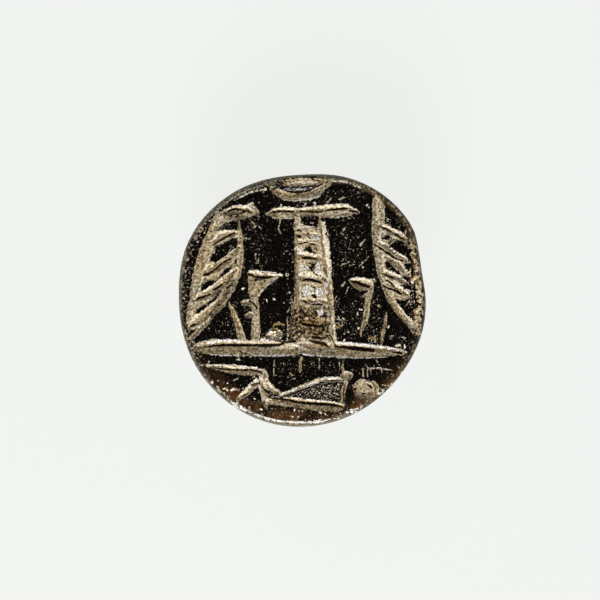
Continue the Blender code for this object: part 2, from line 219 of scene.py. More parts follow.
# Islands of polished stone that still stand in it
SPARED = (
    [(692, 182), (725, 174), (768, 148), (772, 126), (730, 136), (698, 156)],
    [(688, 112), (762, 116), (768, 72), (732, 80), (710, 98)],
    [(-655, 278), (-630, 270), (-605, 288), (-580, 315), (-540, 330), (-510, 366), (-485, 380), (-472, 405),
     (-474, 450), (-505, 452), (-545, 438), (-580, 412), (-610, 403), (-640, 392), (-650, 355), (-670, 315),
     (-668, 290)],
    [(-748, 62), (-720, 78), (-685, 100), (-645, 120), (-605, 152), (-565, 188), (-530, 215), (-508, 242),
     (-515, 255), (-550, 238), (-585, 202), (-610, 162), (-635, 148), (-680, 148), (-705, 138), (-720, 125),
     (-730, 100)],
    [(-498, 270), (-488, 312), (-480, 310), (-482, 260)],
    [(-765, -95), (-730, -78), (-695, -42), (-650, -12), (-625, 10), (-605, 45), (-598, 72), (-615, 60),
     (-635, 30), (-660, 5), (-700, -15), (-735, -40), (-768, -62)],
    [(-820, -215), (-795, -212), (-810, -250)],
    [(-625, 506), (-550, 512), (-474, 508), (-474, 582), (-500, 584), (-545, 566), (-590, 542), (-615, 525)],
    [(-20, 598), (10, 606), (55, 614), (95, 612), (110, 595), (108, 540), (95, 522), (60, 526), (15, 538),
     (-16, 562)],
    [(5, 372), (15, 392), (35, 395), (55, 382), (95, 376), (95, 366), (72, 370), (62, 355), (95, 342),
     (60, 340), (30, 350)],
    [(45, 275), (95, 272), (85, 255), (75, 240), (76, 210), (62, 202), (50, 225), (38, 232), (36, 245),
     (52, 252)],
    [(610, 418), (615, 392), (630, 370), (650, 350), (680, 332), (710, 318), (740, 304), (760, 284),
     (782, 280), (786, 340), (782, 395), (745, 412), (705, 422), (678, 436), (650, 436)],
    [(572, 442), (565, 450), (585, 462), (595, 480), (610, 470), (630, 448), (615, 438)],
    [(592, 275), (605, 285), (630, 266), (650, 242), (672, 225), (695, 200), (698, 185), (670, 198),
     (640, 212), (600, 220), (593, 245)],
    [(728, 266), (750, 262), (774, 280), (784, 250), (782, 190), (766, 195), (752, 220), (736, 240)],
    [(708, 180), (745, 174), (770, 180), (772, 150), (750, 148), (730, 148), (710, 166)],
    [(692, 106), (730, 114), (760, 116), (774, 140), (784, 120), (780, 80), (755, 74), (725, 90)],
    [(598, 142), (618, 140), (642, 118), (634, 112), (610, 126)],
    [(655, 28), (662, 2), (685, -32), (715, -72), (745, -105), (780, -138), (784, -40), (762, -10),
     (740, -14), (720, -2), (698, 2), (675, 16)],
    [(780, 240), (790, 240), (798, 100), (798, -110), (788, -110), (786, 100)],
)
scraped = fill(SCRAPED, soft=0.05)
spared = fill(SPARED)
level = np.minimum(level, uncut - SCRAPE_DEPTH * scraped * (1 + 0.25 * lumps(14, 0.25)))
level = level + (uncut - level) * spared
bare = np.maximum(bare, scraped) * (1 - spared)

# The graver's last passes: narrow lines in the bottoms of the cuts, cut deeper here and painted dark further
# on with dirt and painted shade
VALLEY_DEPTH = 0.085
VALLEYS = (
    # the left wing's head and feathers
    [(-565, 628, 2), (-525, 652, 5), (-490, 663, 5.5), (-455, 658, 4), (-420, 648, 4.5), (-380, 642, 3)],
    [(-490, 598, 2), (-470, 622, 4.5), (-440, 636, 4), (-405, 642, 3), (-365, 628, 3)],
    [(-650, 400, 2), (-610, 428, 4), (-570, 453, 4), (-530, 475, 4), (-495, 487, 4), (-470, 485, 2)],
    [(-720, 188, 5), (-690, 192, 8), (-660, 208, 5), (-630, 233, 4.5), (-590, 265, 4), (-550, 293, 4),
     (-520, 305, 4)],
    [(-782, 3, 3), (-750, 18, 7), (-710, 33, 5), (-675, 47, 3)],
    [(-650, 83, 3), (-630, 86, 6), (-600, 110, 4), (-560, 138, 3)],
    [(-810, -182, 3), (-785, -175, 5), (-760, -162, 3)],
    # the left flower
    [(-395, 195, 5), (-370, 188, 6), (-350, 172, 4), (-300, 170, 3), (-260, 166, 4), (-220, 172, 3)],
    [(-385, -2, 5), (-360, -18, 6), (-340, -42, 5), (-332, -60, 3)], [(-425, -52, 4), (-400, -78, 5)],
    # the right flower
    [(345, 142, 4), (390, 133, 8), (440, 112, 9), (475, 98, 5)],
    # the right wing's feathers
    [(545, 542, 2), (590, 520, 4.5), (630, 497, 4), (670, 475, 4.5), (710, 450, 4), (735, 435, 2)],
    [(510, 410, 3), (550, 385, 4.5), (590, 355, 5), (620, 337, 6), (650, 315, 5), (680, 298, 4),
     (720, 288, 3), (745, 280, 2)],
    [(550, 205, 3), (590, 190, 5), (625, 174, 6), (660, 160, 2)],
    [(575, 110, 4), (610, 94, 5), (645, 82, 5), (680, 65, 6), (705, 50, 4)],
    [(600, 150, 3), (620, 138, 5), (640, 120, 5), (655, 102, 3)],
    # the bar over the pillar
    [(-230, 635, 2), (-200, 643, 4), (-150, 647, 4.5), (-100, 645, 5), (-70, 640, 3)],
    [(-20, 645, 3), (30, 644, 4.5), (90, 640, 4), (140, 638, 3)],
    [(160, 650, 3), (220, 658, 6), (280, 665, 5.5), (320, 666, 3)],
    [(330, 650, 3), (360, 645, 5), (390, 640, 3)],
    # the crescent and disc
    [(-157, 797, 2), (-112, 789, 5), (-56, 783, 7), (-5, 785, 6.5), (51, 797, 4), (96, 820, 2.5),
     (146, 850, 1.5)],
    [(-136, 820, 3), (-84, 815, 3.5), (-28, 818, 3.5), (17, 821, 3.5), (85, 832, 2)],
    [(-247, 821, 3), (-236, 841, 3), (-196, 847, 3), (-174, 838, 2)],
    [(-224, 804, 3), (-196, 815, 3), (-179, 823, 2)],
    [(-185, 821, 3), (-140, 854, 3.5), (-101, 870, 3), (-62, 882, 2)],
    [(-156, 878, 2.5), (-144, 868, 2.5), (-130, 880, 2)], [(28, 888, 2), (85, 870, 3.5), (129, 863, 3)],
    [(118, 882, 2), (146, 874, 2.5)], [(60, 802, 1.5), (129, 832, 2), (180, 862, 2)],
    [(-190, 780, 3), (-160, 774, 3)],
    # the pillar's rungs
    [(-42, 515, 4), (-15, 502, 5)], [(-35, 468, 8), (-22, 462, 6)], [(30, 487, 5), (42, 486, 5)],
    [(65, 463, 4), (72, 460, 4)], [(42, 456, 4), (52, 453, 4)], [(-30, 415, 3), (-5, 412, 3)],
    [(0, 420, 3), (40, 420, 4)], [(50, 410, 3), (80, 406, 4), (100, 398, 3)],
    [(-10, 305, 3), (20, 308, 5), (60, 307, 5), (95, 303, 3)], [(75, 202, 3), (100, 190, 5), (120, 182, 3)],
    [(-15, 142, 3), (20, 153, 6), (60, 150, 7), (100, 140, 6), (138, 126, 4)], [(78, 98, 5), (82, 90, 5)],
    [(70, 42, 8), (88, 25, 6)], [(0, -3, 5), (20, -12, 5), (45, -22, 3)],
    [(60, -27, 3), (100, -24, 4), (135, -28, 3)], [(0, -80, 5), (12, -102, 6)], [(94, -80, 5), (90, -106, 6)],
    [(-25, -144, 4.5), (-2, -164, 8), (35, -173, 8.5), (70, -178, 8), (110, -182, 7), (147, -186, 4.5)],
    [(67, -261, 4.5), (100, -263, 7), (131, -265, 5.5)],
    [(47, -285, 4), (91, -301, 8.5), (130, -308, 10), (160, -315, 8), (180, -333, 3)],
    [(-155, -298, 3), (-110, -296, 6), (-60, -290, 5)],
    [(175, -218, 2), (208, -269, 3), (222, -305, 3), (234, -334, 3)],
    # the ground line, with a long slot at its right
    [(-760, -342, 2), (-710, -336, 3.5), (-650, -325, 4.5), (-580, -320, 6), (-500, -318, 7), (-420, -320, 7),
     (-340, -320, 7), (-250, -320, 8), (-170, -317, 7), (-140, -310, 4)],
    [(235, -328, 5), (300, -334, 8), (380, -342, 10), (460, -352, 10), (505, -357, 8)],
    [(645, -370, 3), (675, -373, 5), (710, -377, 3)], [(-435, -375, 3), (-410, -379, 4)],
    [(-52, -342, 4), (-42, -352, 4)],
    # the beast
    [(-670, -482, 2), (-620, -487, 3), (-550, -493, 4), (-490, -498, 4), (-430, -500, 4), (-380, -497, 3.5),
     (-340, -502, 4), (-315, -513, 5), (-295, -523, 3)],
    [(-375, -610, 3), (-350, -598, 5), (-320, -593, 4)], [(-445, -690, 2), (-420, -674, 3)],
    [(-295, -620, 3), (-260, -655, 5), (-230, -680, 5)],
    [(-155, -693, 3), (-100, -676, 3.5), (0, -640, 3.5), (90, -609, 3.5), (130, -590, 5), (160, -588, 3)],
    [(-270, -675, 2), (-230, -700, 4), (-160, -708, 6), (-100, -715, 6), (-50, -730, 6), (0, -735, 7),
     (60, -740, 7), (120, -742, 7), (180, -745, 8), (240, -755, 6), (280, -765, 3)],
    [(296, -600, 2), (290, -660, 3), (292, -730, 4.5)], [(460, -598, 4), (490, -625, 5)],
    [(370, -635, 5), (382, -630, 5)], [(422, -668, 3), (445, -666, 3)],
)
valley = draw(VALLEYS, 0.5, 2.4)
level = level - VALLEY_DEPTH * smooth(0.25, 0.95, valley)
bare = np.maximum(bare, smooth(0.5, 0.8, valley))
# The beast's flank is cut broad and shallow, and has kept most of its polish
FLANK = (
    [(-70, -678), (20, -652), (130, -612), (275, -602), (272, -720), (150, -712), (20, -700)],
)
bare = bare * (1 - 0.9 * fill(FLANK, soft=0.1, ragged=3.0))

# Pale edges and walls of the cuts: partly bruised stone, partly painted light on walls that face the lamps
PALE_AND_LIT = (
    [(-415, 678, 9), (-385, 692, 14), (-360, 678, 10)],
    [(-700, -468, 4), (-600, -470, 9), (-500, -477, 9), (-400, -479, 8), (-340, -479, 8)],
    [(-100, -695, 3), (0, -712, 6), (100, -722, 6), (200, -730, 6), (260, -740, 5)],
    [(340, 160, 6), (400, 160, 10), (450, 150, 9), (510, 142, 6)],
    [(-220, 652, 3), (-180, 664, 5), (-120, 666, 6), (-60, 662, 6), (20, 660, 7), (120, 670, 9),
     (220, 680, 9), (320, 685, 9), (360, 660, 5), (395, 645, 3)],
    [(-220, 598, 3), (-150, 592, 5), (-80, 595, 4)], [(150, 602, 3), (240, 602, 5), (320, 610, 3)],
    [(-35, 342, 9), (20, 338, 10), (90, 324, 8)], [(-20, 185, 8), (50, 178, 16), (120, 158, 12)],
    [(0, -126, 8), (50, -133, 11), (90, -142, 8)],
    [(-12, -184, 4), (40, -192, 7), (90, -200, 7), (140, -208, 5)],
    [(67, -250, 3), (120, -232, 3.5), (163, -214, 3)],
    [(210, -102, 9), (214, -182, 10), (222, -250, 9), (242, -315, 6)],
    [(145, 580, 10), (158, 500, 18), (170, 400, 20), (180, 300, 20), (192, 220, 16)],
    [(-200, 626, 10), (-100, 618, 15)], [(100, 626, 14), (240, 632, 17), (340, 638, 12)],
    [(-330, -505, 7), (-295, -560, 15), (-245, -620, 16), (-195, -655, 9)],
    [(-460, -690, 9), (-390, -625, 16), (-340, -570, 13)],
    [(-325, -590, 7), (-305, -660, 10), (-285, -705, 11), (-220, -735, 7), (-120, -750, 4)],
    [(-260, -342, 5), (-160, -338, 12), (-60, -330, 15), (20, -350, 10)],
    [(-80, 738, 5), (40, 730, 8), (120, 755, 6)], [(-110, 840, 6), (-20, 850, 13), (90, 850, 8)],
    [(-175, 178, 4), (-240, 132, 6), (-300, 74, 6), (-322, 35, 4)],
    [(-20, 550, 10), (30, 520, 11), (80, 512, 8)], [(-30, 440, 5), (20, 428, 5), (70, 420, 5)],
    [(575, 545, 4), (640, 517, 7), (700, 487, 7), (735, 460, 5)],
    [(630, 378, 5), (670, 345, 7), (720, 320, 9), (750, 295, 6)],
    [(580, 222, 5), (630, 202, 7), (690, 176, 8), (750, 135, 5)],
    [(600, 135, 4), (650, 112, 8), (700, 92, 8), (750, 55, 6)], [(660, -5, 4), (720, -85, 6), (780, -145, 5)],
    [(-630, 268, 5), (-590, 298, 6), (-540, 330, 6), (-490, 375, 5)],
    [(-735, 55, 5), (-660, 105, 8), (-580, 165, 7), (-520, 215, 6)],
    [(-800, -125, 5), (-700, -60, 6), (-640, -10, 6), (-600, 20, 4)],
    [(-610, 618, 4), (-560, 648, 6), (-510, 676, 6), (-460, 680, 7), (-420, 674, 5)],
    [(-620, 492, 4), (-570, 502, 5), (-500, 502, 5)], [(-160, 732, 4), (-60, 720, 5), (40, 730, 4)],
    [(-385, 210, 7), (-350, 206, 10), (-300, 200, 10), (-260, 193, 9), (-220, 186, 6), (-170, 186, 5)],
    [(-455, 745, 4), (-410, 766, 6), (-370, 785, 7), (-320, 793, 6), (-265, 806, 4)],
    [(210, 862, 5), (270, 862, 8), (325, 855, 9), (380, 836, 8), (420, 812, 5)],
)
# and the ones that are white, partly bruises and partly painted highlights: the ground line's, the beast's
# back, the crescent's, low on the rim
WHITE_AND_HIGHLIT = (
    [(-690, -384, 3), (-600, -390, 5), (-500, -393, 5), (-400, -397, 5), (-340, -394, 6), (-200, -395, 5),
     (-50, -393, 5)],
    [(-35, -370, 6), (0, -382, 7), (60, -390, 7.5), (130, -397, 7), (200, -402, 5), (300, -406, 6),
     (400, -412, 4), (500, -410, 3), (620, -402, 3)],
    [(-770, -328, 3), (-700, -306, 8), (-600, -290, 10), (-500, -286, 10), (-460, -295, 6)],
    [(-300, -280, 8), (-260, -292, 10), (-220, -302, 6)],
    [(250, -308, 7), (350, -312, 10), (450, -322, 9), (540, -333, 6), (650, -347, 7), (740, -370, 3)],
    [(-155, -672, 6), (-50, -636, 8), (50, -604, 8), (120, -576, 9), (200, -562, 7), (270, -564, 6)],
    [(60, 5, 5), (125, -8, 6)], [(110, -244, 5), (128, -247, 5)],
    [(-130, 812, 3), (-60, 806, 4.5), (0, 806, 4.5), (60, 818, 3.5)],
    [(185, 195, 5), (180, 140, 9), (162, 105, 14), (170, 60, 10)],
    [(-430, -772, 3), (-380, -805, 4), (-300, -840, 5), (-250, -855, 5), (-200, -865, 6), (-130, -870, 6),
     (0, -875, 7), (100, -875, 6), (200, -852, 4), (270, -845, 3)],
)
off_valleys = 1 - smooth(0.2, 0.6, valley)


def bruise_and_light_lines(paths, seed):
    """Pale lines, of bruises and of painted light, that come and go, and leave the bottoms of the cuts dark.
    """
    return draw(paths, 0.6, 1.5) * np.clip(0.8 + 0.3 * lumps(seed, 0.14), 0, 1) * off_valleys


pale_and_lit = bruise_and_light_lines(PALE_AND_LIT, 15)
white_and_highlit = bruise_and_light_lines(WHITE_AND_HIGHLIT, 16)

# Powdery white left in the pillar's cells, and on the rim
POWDER = (
    [(-5, 30), (5, 95), (45, 108), (68, 85), (62, 45)],
    [(90, 95), (130, 100), (145, 40), (120, 10), (95, 35)],
    [(-10, 210), (-10, 255), (20, 255), (33, 230), (30, 210)],
    [(90, 205), (90, 260), (110, 270), (125, 230), (115, 200)],
    [(-40, 345), (-40, 385), (-20, 380), (-5, 360), (-10, 345)],
    [(105, -70), (135, -62), (150, -75), (140, -92), (110, -90)],
    [(60, 425), (110, 440), (110, 470), (70, 460)],
    [(540, -660), (560, -648), (580, -645), (575, -658), (550, -672)],
    [(310, -805), (345, -786), (400, -766), (420, -760), (400, -780), (350, -805)],
    [(-500, -735), (-430, -770), (-420, -795), (-470, -785), (-505, -760)],
    [(30, -862), (140, -862), (150, -875), (40, -880)],
    [(-240, -262), (-220, -240), (-205, -255), (-215, -280)],
)
powder = fill(POWDER, soft=0.08, ragged=4.0)

# Bruised dull ground: the beast's flank, beside the pillar's foot, over the bar, at the right edge
DULL = (
    [(-130, -685), (0, -645), (130, -598), (280, -595), (265, -720), (150, -710), (0, -698)],
    [(-70, 55), (-100, 35), (-102, -40), (-110, -120), (-115, -260), (-85, -290), (-70, -120), (-60, 0)],
    [(-60, 715), (10, 725), (90, 720), (80, 695), (10, 685), (-50, 685)],
    [(230, -120), (270, -105), (305, -135), (300, -180), (250, -195), (230, -170)],
    [(465, -255), (540, -255), (540, -300), (470, -305)], [(590, 610), (630, 600), (635, 560), (590, 555)],
    [(760, 140), (790, 130), (790, -40), (760, -60), (745, -10), (760, 40)],
)
# and a sparser sprinkling between the figures and on the rim
SPARSE_SHARE = 0.46
SPARSE = (
    [(-30, 620), (120, 615), (120, 520), (60, 510), (-30, 530)],
    [(-650, 590), (-560, 600), (-470, 595), (-470, 495), (-660, 495)],
    [(-660, -180), (-520, -20), (-460, 0), (-440, -130), (-480, -250), (-660, -260)],
    [(230, 560), (390, 560), (430, 420), (460, 260), (260, 240), (240, 420)],
    [(260, -60), (400, 60), (560, 40), (580, -280), (320, -280)],
    [(140, 700), (420, 720), (460, 780), (260, 820), (160, 780)],
    [(-180, -430), (260, -430), (280, -520), (100, -520), (-100, -580), (-220, -540)],
    [(-420, 620), (-280, 580), (-260, 320), (-360, 300), (-400, 460)],
    [(-760, -500), (-660, -540), (-500, -680), (-380, -760), (-420, -800), (-540, -730), (-680, -600)],
    [(-440, -690), (-260, -720), (0, -750), (260, -760), (420, -720), (460, -740), (260, -840), (-20, -860),
     (-260, -830), (-400, -760)],
    [(-860, 260), (-830, 260), (-825, 40), (-810, -160), (-840, -160), (-860, 40)],
    [(620, -220), (760, -240), (820, -320), (810, -440), (720, -560), (660, -440)],
)
open_ground = 1 - bare
dull = fill(DULL, soft=0.12, ragged=5.0)
dull = np.maximum(dull, SPARSE_SHARE * fill(SPARSE, soft=0.35, ragged=8.0) * open_ground)

# Browner and darker ground: in and beside the pillar, under the left flower, on the left figure
DUSK = (
    [(-100, -30), (0, -40), (180, -50), (190, -150), (200, -290), (100, -290), (-20, -270), (-90, -280)],
    [(-100, -120), (-45, -160), (0, -200), (20, -240), (0, -275), (-50, -280), (-100, -300)],
    [(-86, 340), (-54, 340), (-50, 120), (-100, 120)],
    [(-108, 130), (-62, 110), (-52, -50), (-30, -140), (-30, -285), (-115, -300), (-112, -50)],
    [(-370, 185), (-205, 175), (-265, 138), (-310, 118), (-365, 130)],
    [(-5, 605), (110, 600), (110, 535), (0, 530)],
    [(-720, -160), (-690, -120), (-600, 20), (-510, 190), (-490, 160), (-560, 20), (-660, -120)],
    [(-600, 630), (-520, 645), (-440, 630), (-460, 595), (-560, 595)],
)
dusk = fill(DUSK, soft=0.25, ragged=6.0)

# Single scratches in the polish, as they lie
SCRATCHES = (
    [(-165, 585, 4.5), (-180, 510, 4.5), (-160, 485, 3)], [(-365, 595, 3), (-328, 568, 3)],
    [(-378, 578, 3), (-352, 548, 3)], [(-332, 545, 3), (-305, 518, 2)],
    [(-440, 465, 3), (-410, 448, 4), (-385, 445, 3)], [(-345, 320, 2), (-336, 255, 3)],
    [(-320, 310, 2), (-325, 270, 2)], [(445, 442, 4), (410, 400, 12)], [(305, 530, 5), (285, 500, 5)],
    [(270, 490, 2), (290, 470, 3), (315, 445, 2)], [(260, 250, 3), (310, 272, 2)],
    [(290, 245, 1.5), (370, 262, 2)], [(400, 250, 2.5), (450, 290, 2), (480, 335, 2)],
    [(275, 105, 4), (305, 145, 3)], [(302, 150, 3), (290, 105, 4)],
    [(420, -490, 3), (470, -486, 4), (550, -487, 4), (600, -495, 3.5), (650, -503, 2)],
    [(460, -472, 4), (462, -540, 4.5), (474, -572, 3)], [(562, -495, 4), (566, -522, 3)],
    [(430, -505, 3), (432, -550, 3)], [(485, -495, 2), (488, -530, 2)], [(115, -415, 5), (115, -490, 4)],
    [(-210, -425, 4), (-210, -472, 6)], [(-215, -485, 3), (-212, -545, 4)],
    [(-138, -435, 3), (-142, -475, 3)], [(260, -440, 4), (262, -500, 3)], [(525, -412, 3), (532, -450, 4)],
    [(-85, -45, 4), (-50, -105, 4)], [(-118, -125, 3), (-110, -180, 5), (-112, -255, 5)],
    [(65, -252, 4), (120, -235, 5), (165, -208, 4)], [(690, 385, 2), (715, 414, 3)],
    [(618, 400, 3), (630, 412, 4), (662, 438, 4)], [(-535, 345, 2), (-520, 400, 3)],
    [(732, 472, 4), (738, 515, 5)], [(585, 210, 3), (645, 250, 2)],
    [(725, -50, 3), (755, -15, 4), (775, 20, 3)], [(-690, 335, 3), (-655, 360, 3)],
    [(250, 730, 2), (310, 745, 2)], [(150, 720, 3), (175, 710, 4), (205, 742, 2)],
    [(260, 720, 2), (290, 752, 3)], [(685, 645, 3), (670, 610, 2)], [(340, 620, 2), (370, 590, 2)],
    [(190, 600, 2), (210, 560, 3)], [(635, -245, 3), (628, -285, 3)], [(690, -262, 3), (740, -266, 4)],
    [(510, -210, 2), (505, -260, 3)], [(-465, -410, 3), (-455, -428, 4), (-480, -422, 3)],
    [(-322, -408, 3), (-305, -422, 3), (-290, -412, 3)], [(-120, -545, 3), (-100, -555, 4)],
    [(-100, -520, 3), (-75, -540, 4)], [(-60, -560, 3), (-85, -565, 3)], [(-500, -575, 2), (-470, -560, 3)],
    [(-385, -565, 3), (-355, -550, 4)], [(300, 35, 3), (320, 95, 3)],
    [(240, 35, 4), (225, 0, 3), (250, -5, 3)],
)
scratch = draw(SCRATCHES, 0.45, 1.25)

# Brown stains in the pillar's foot and round it
OCHRE = (
    [(39, -295, 2), (80, -314, 3), (120, -324, 3.5), (186, -343, 2)],
    [(-10, -150, 3), (40, -157, 5), (120, -166, 5)],
    [(85, -150, 3), (120, -142, 6), (150, -160, 5), (120, -172, 3)],
    [(-220, -192, 5), (-210, -172, 8), (-175, -162, 9), (-135, -170, 6)], [(-220, -202, 5), (-190, -202, 7)],
    [(235, -190, 6), (265, -188, 6), (285, -165, 4)], [(475, -270, 8), (510, -265, 10), (525, -290, 6)],
)
ochre = draw(OCHRE, 0.7, 1.4)

# Pale crusts that stand on the polish
CRUSTS = (
    [(-255, -250, 10), (-235, -230, 16), (-205, -228, 14)], [(-190, -245, 16), (-170, -260, 12)],
    [(-245, -280, 12), (-215, -288, 12), (-185, -282, 10)],
    [(-578, -633, 8), (-550, -630, 11), (-542, -648, 7)],
    [(-520, -645, 8), (-495, -632, 12), (-460, -642, 6)], [(-662, -588, 9), (-655, -590, 9)],
    [(-616, -575, 7), (-612, -576, 7)], [(670, -322, 8), (695, -320, 11), (705, -330, 6)],
    [(728, -315, 5), (732, -340, 5)], [(-120, 190, 12), (-115, 186, 12)], [(-170, 190, 7), (-150, 180, 8)],
    [(-350, 330, 6), (-340, 336, 8)], [(-212, 12, 5), (-202, 10, 4)], [(-265, 10, 3), (-258, -5, 5)],
    [(405, -62, 7), (425, -65, 5)], [(392, -98, 5), (390, -86, 4)], [(540, -30, 6), (555, -38, 8)],
    [(505, -12, 7), (508, -10, 7)], [(612, -192, 6), (618, -180, 5)], [(398, -200, 7), (400, -195, 6)],
    [(298, -280, 5), (290, -295, 8)], [(315, -215, 5), (328, -228, 6)], [(-180, -210, 6), (-170, -215, 7)],
    [(-140, -210, 4), (-135, -200, 5)], [(-290, -270, 8), (-280, -266, 10)], [(-70, 530, 6), (-72, 524, 6)],
    [(-160, 692, 5), (-162, 685, 5)], [(10, 680, 5), (15, 698, 7)], [(85, 692, 6), (85, 705, 9)],
    [(455, 688, 7), (475, 700, 4)], [(-350, -702, 7), (-345, -705, 7)], [(-300, -810, 7), (-295, -814, 6)],
    [(-310, -780, 7), (-300, -782, 7)], [(-422, -770, 6), (-418, -772, 6)], [(-85, -830, 6), (-75, -834, 6)],
    [(-65, -795, 5), (-60, -780, 5)], [(-15, -815, 5), (-5, -795, 6)], [(115, -800, 5), (130, -810, 6)],
    [(155, -810, 5), (160, -820, 5)], [(-440, 88, 7), (-430, 90, 7)], [(730, -265, 6), (735, -268, 5)],
    [(645, -255, 4), (648, -248, 5)], [(640, -595, 5), (630, -615, 6)], [(710, -510, 4), (700, -530, 5)],
)
crust = draw(CRUSTS, 0.55, 1.1)

# Black cracks in the worn rim
CRACKS = (
    [(772, 320, 6), (780, 260, 9), (786, 180, 7)], [(802, 120, 6), (804, 50, 5)],
    [(788, 36, 2), (791, -59, 3), (787, -137, 2)],
    [(791, 226, 3), (804, 192, 5), (839, 183, 4), (856, 217, 3), (852, 261, 2)],
    [(826, 295, 5), (824, 298, 5)], [(826, 252, 6), (829, 250, 5)],
    [(822, -10, 2), (845, -40, 5), (870, -60, 6), (840, -76, 4)],
    [(850, -100, 10), (862, -130, 12), (860, -165, 10)], [(825, 10, 4), (832, 30, 3)],
    [(805, 370, 3), (822, 330, 4), (840, 330, 3)], [(755, 460, 4), (762, 410, 6)],
    [(830, -190, 4), (810, -220, 5)], [(805, -20, 2), (820, -55, 3)],
)
crack = draw(CRACKS, 0.6, 1.4)

# Wear of the rim, and painted reflection bands at its top left and bottom, in parts of the edge, each from
# angle, to angle, width, strength
WEAR_AND_SHEEN = (
    (-17, 31, 0.85, 1.0), (31, 60, 0.3, 0.5), (60, 105, 0.4, 0.85), (100, 152, 0.62, 0.62),
    (100, 225, 0.2, 1.0), (152, 215, 0.75, 0.45), (215, 246, 0.45, 0.6), (246, 296, 0.34, 0.6),
    (296, 322, 0.45, 0.55), (322, 343, 0.2, 0.5),
)
# A painted reflection on the turned edge itself, smoother and olive, in such parts too
RIM_SHEEN_PARTS = (
    (-25, 28, 0.13, 0.85), (28, 80, 0.5, 0.95), (80, 112, 0.26, 0.65), (112, 150, 0.27, 0.65),
    (150, 215, 0.24, 0.65), (215, 245, 0.22, 0.7), (245, 335, 0.24, 0.85),
)
degrees = np.degrees(angle)


def along_edge(parts, fade, inner, outer, sway, jag):
    """A field of parts of the edge that fade into each other over some degrees. A part is full within
    inner widths of the edge and gone at outer."""
    field = np.zeros((SIDE, SIDE))
    ragged = inward + sway * lumps(8, 0.5) + jag * lumps(9, 0.15)
    for start, stop, width, strength in parts:
        half = (stop - start) / 2
        off = np.abs((degrees - (start + stop) / 2 + 180) % 360 - 180)
        within = 1 - smooth(half - fade, half + fade, off)
        field = np.maximum(field, strength * within * (1 - smooth(width * inner, width * outer, ragged)))
    return field


# The rim's wear with its painted reflection bands, and the painted sheen on the turned edge
worn_and_sheen = along_edge(WEAR_AND_SHEEN, 4, 0.8, 1.1, 0.1, 0.06) * (1 - crack)
painted_rim_sheen = along_edge(RIM_SHEEN_PARTS, 5, 0.55, 1.2, 0.05, 0.03)

# The fine relief: how far scratches, pits and bruises lie below the ground, and crusts, stains and
# powder above it
SCRATCH_DEPTH, PIT_DEPTH, BRUISE_DEPTH, WEAR_DEPTH = 0.03, 0.022, 0.02, 0.015
CRUST_HEIGHT, STAIN_HEIGHT, POWDER_HEIGHT = 0.035, 0.02, 0.012
rough = np.maximum(bare, dull)
level = level - SCRATCH_DEPTH * scratch * open_ground + CRUST_HEIGHT * crust
level = level + STAIN_HEIGHT * ochre + POWDER_HEIGHT * powder
level_before_grain = level
level = level + (0.009 * lumps(10, 0.09) + 0.008 * lumps(11, 0.2)) * rough
pits = smooth(1.7, 2.6, lumps(12, 0.14))
level = level - (PIT_DEPTH * pits + BRUISE_DEPTH * dull) * open_ground
level = level - WEAR_DEPTH * worn_and_sheen * smooth(0.3, 1.5, lumps(13, 0.18))
# A rough lump left of the pillar's foot
LUMP_X, LUMP_Y = -2.1, -2.52
lump = 1 - smooth(0.4, 0.62, np.hypot(across - LUMP_X, up - LUMP_Y))
level = level + lump * (0.05 * lumps(21, 0.16) + 0.03 * lumps(22, 0.08))
# Dirt and painted shade darken what is hollow, the cracks and the cuts' bottoms; what stands out is rubbed
# pale and carries a painted highlight; the cuts are browner at their edges, with stain and painted shade
bulge = level_before_grain - blur(level_before_grain, 0.08)
dirt_and_shade = np.maximum(np.maximum(valley, crack), 0.56 * smooth(0.008, 0.036, -bulge) * bare)
rubbed_and_highlit = smooth(0.005, 0.024, bulge) * bare
stained_and_shaded_border = 1 - smooth(0.1, 0.4, np.abs(blur(bare, 0.06) - 0.42))
stained_and_shaded_border = np.maximum(stained_and_shaded_border, 0.8 * smooth(0.06, 0.3, blur(valley, 0.08)))


# The stone, part two: its skin.
# A square net of cells covers the flat of the face, with its cells joined where nothing changes.
# Rings of cells go on from its edge over the rim, down the side and the back, and round the boss.

NET = 312
FLAT_INSET = 0.55


def square_to_disc(a, b):
    """A place in the square from -1 to 1 as share of the radius and angle."""
    if a == 0 and b == 0:
        return 0.0, 0.0
    if abs(a) > abs(b):
        return abs(a), math.pi / 4 * b / a + (math.pi if a < 0 else 0)
    return abs(b), math.pi / 2 - math.pi / 4 * a / b + (math.pi if b < 0 else 0)


steps = np.linspace(-1, 1, NET + 1)
shares_and_turns = np.array([[square_to_disc(a, b) for a in steps] for b in steps])
net_turn = shares_and_turns[:, :, 1]
distance = shares_and_turns[:, :, 0] * (edge_radius(net_turn) - FLAT_INSET)
net_x, net_y = distance * np.cos(net_turn), distance * np.sin(net_turn)


def bends(field):
    """How far a field turns aside at each point of the net."""
    values = at(field, net_x, net_y)
    turned = np.zeros_like(values)
    turned[1:-1] = np.abs(np.diff(values, 2, axis=0))
    turned[:, 1:-1] = np.maximum(turned[:, 1:-1], np.abs(np.diff(values, 2, axis=1)))
    return turned


# Cells stay small where the level or a colour turns by more than this
LEVEL_BEND = 0.01
COLOUR_BEND = 0.3
busy = bends(level_before_grain) > LEVEL_BEND
for field in (bare, dirt_and_shade, white_and_highlit, pale_and_lit, powder, scratch, crust, ochre, 0.5 * worn_and_sheen, 0.5 * dull):
    busy |= bends(field) > COLOUR_BEND
busy[[0, -1]] = busy[:, [0, -1]] = True
busy_cells = busy[:-1, :-1] | busy[1:, :-1] | busy[:-1, 1:] | busy[1:, 1:]
span = np.ones((NET, NET), int)
for size in (2, 4, 8):
    quiet = ~busy_cells.reshape(NET // size, size, NET // size, size).any(axis=(1, 3))
    span[np.kron(quiet, np.ones((size, size), bool))] = size

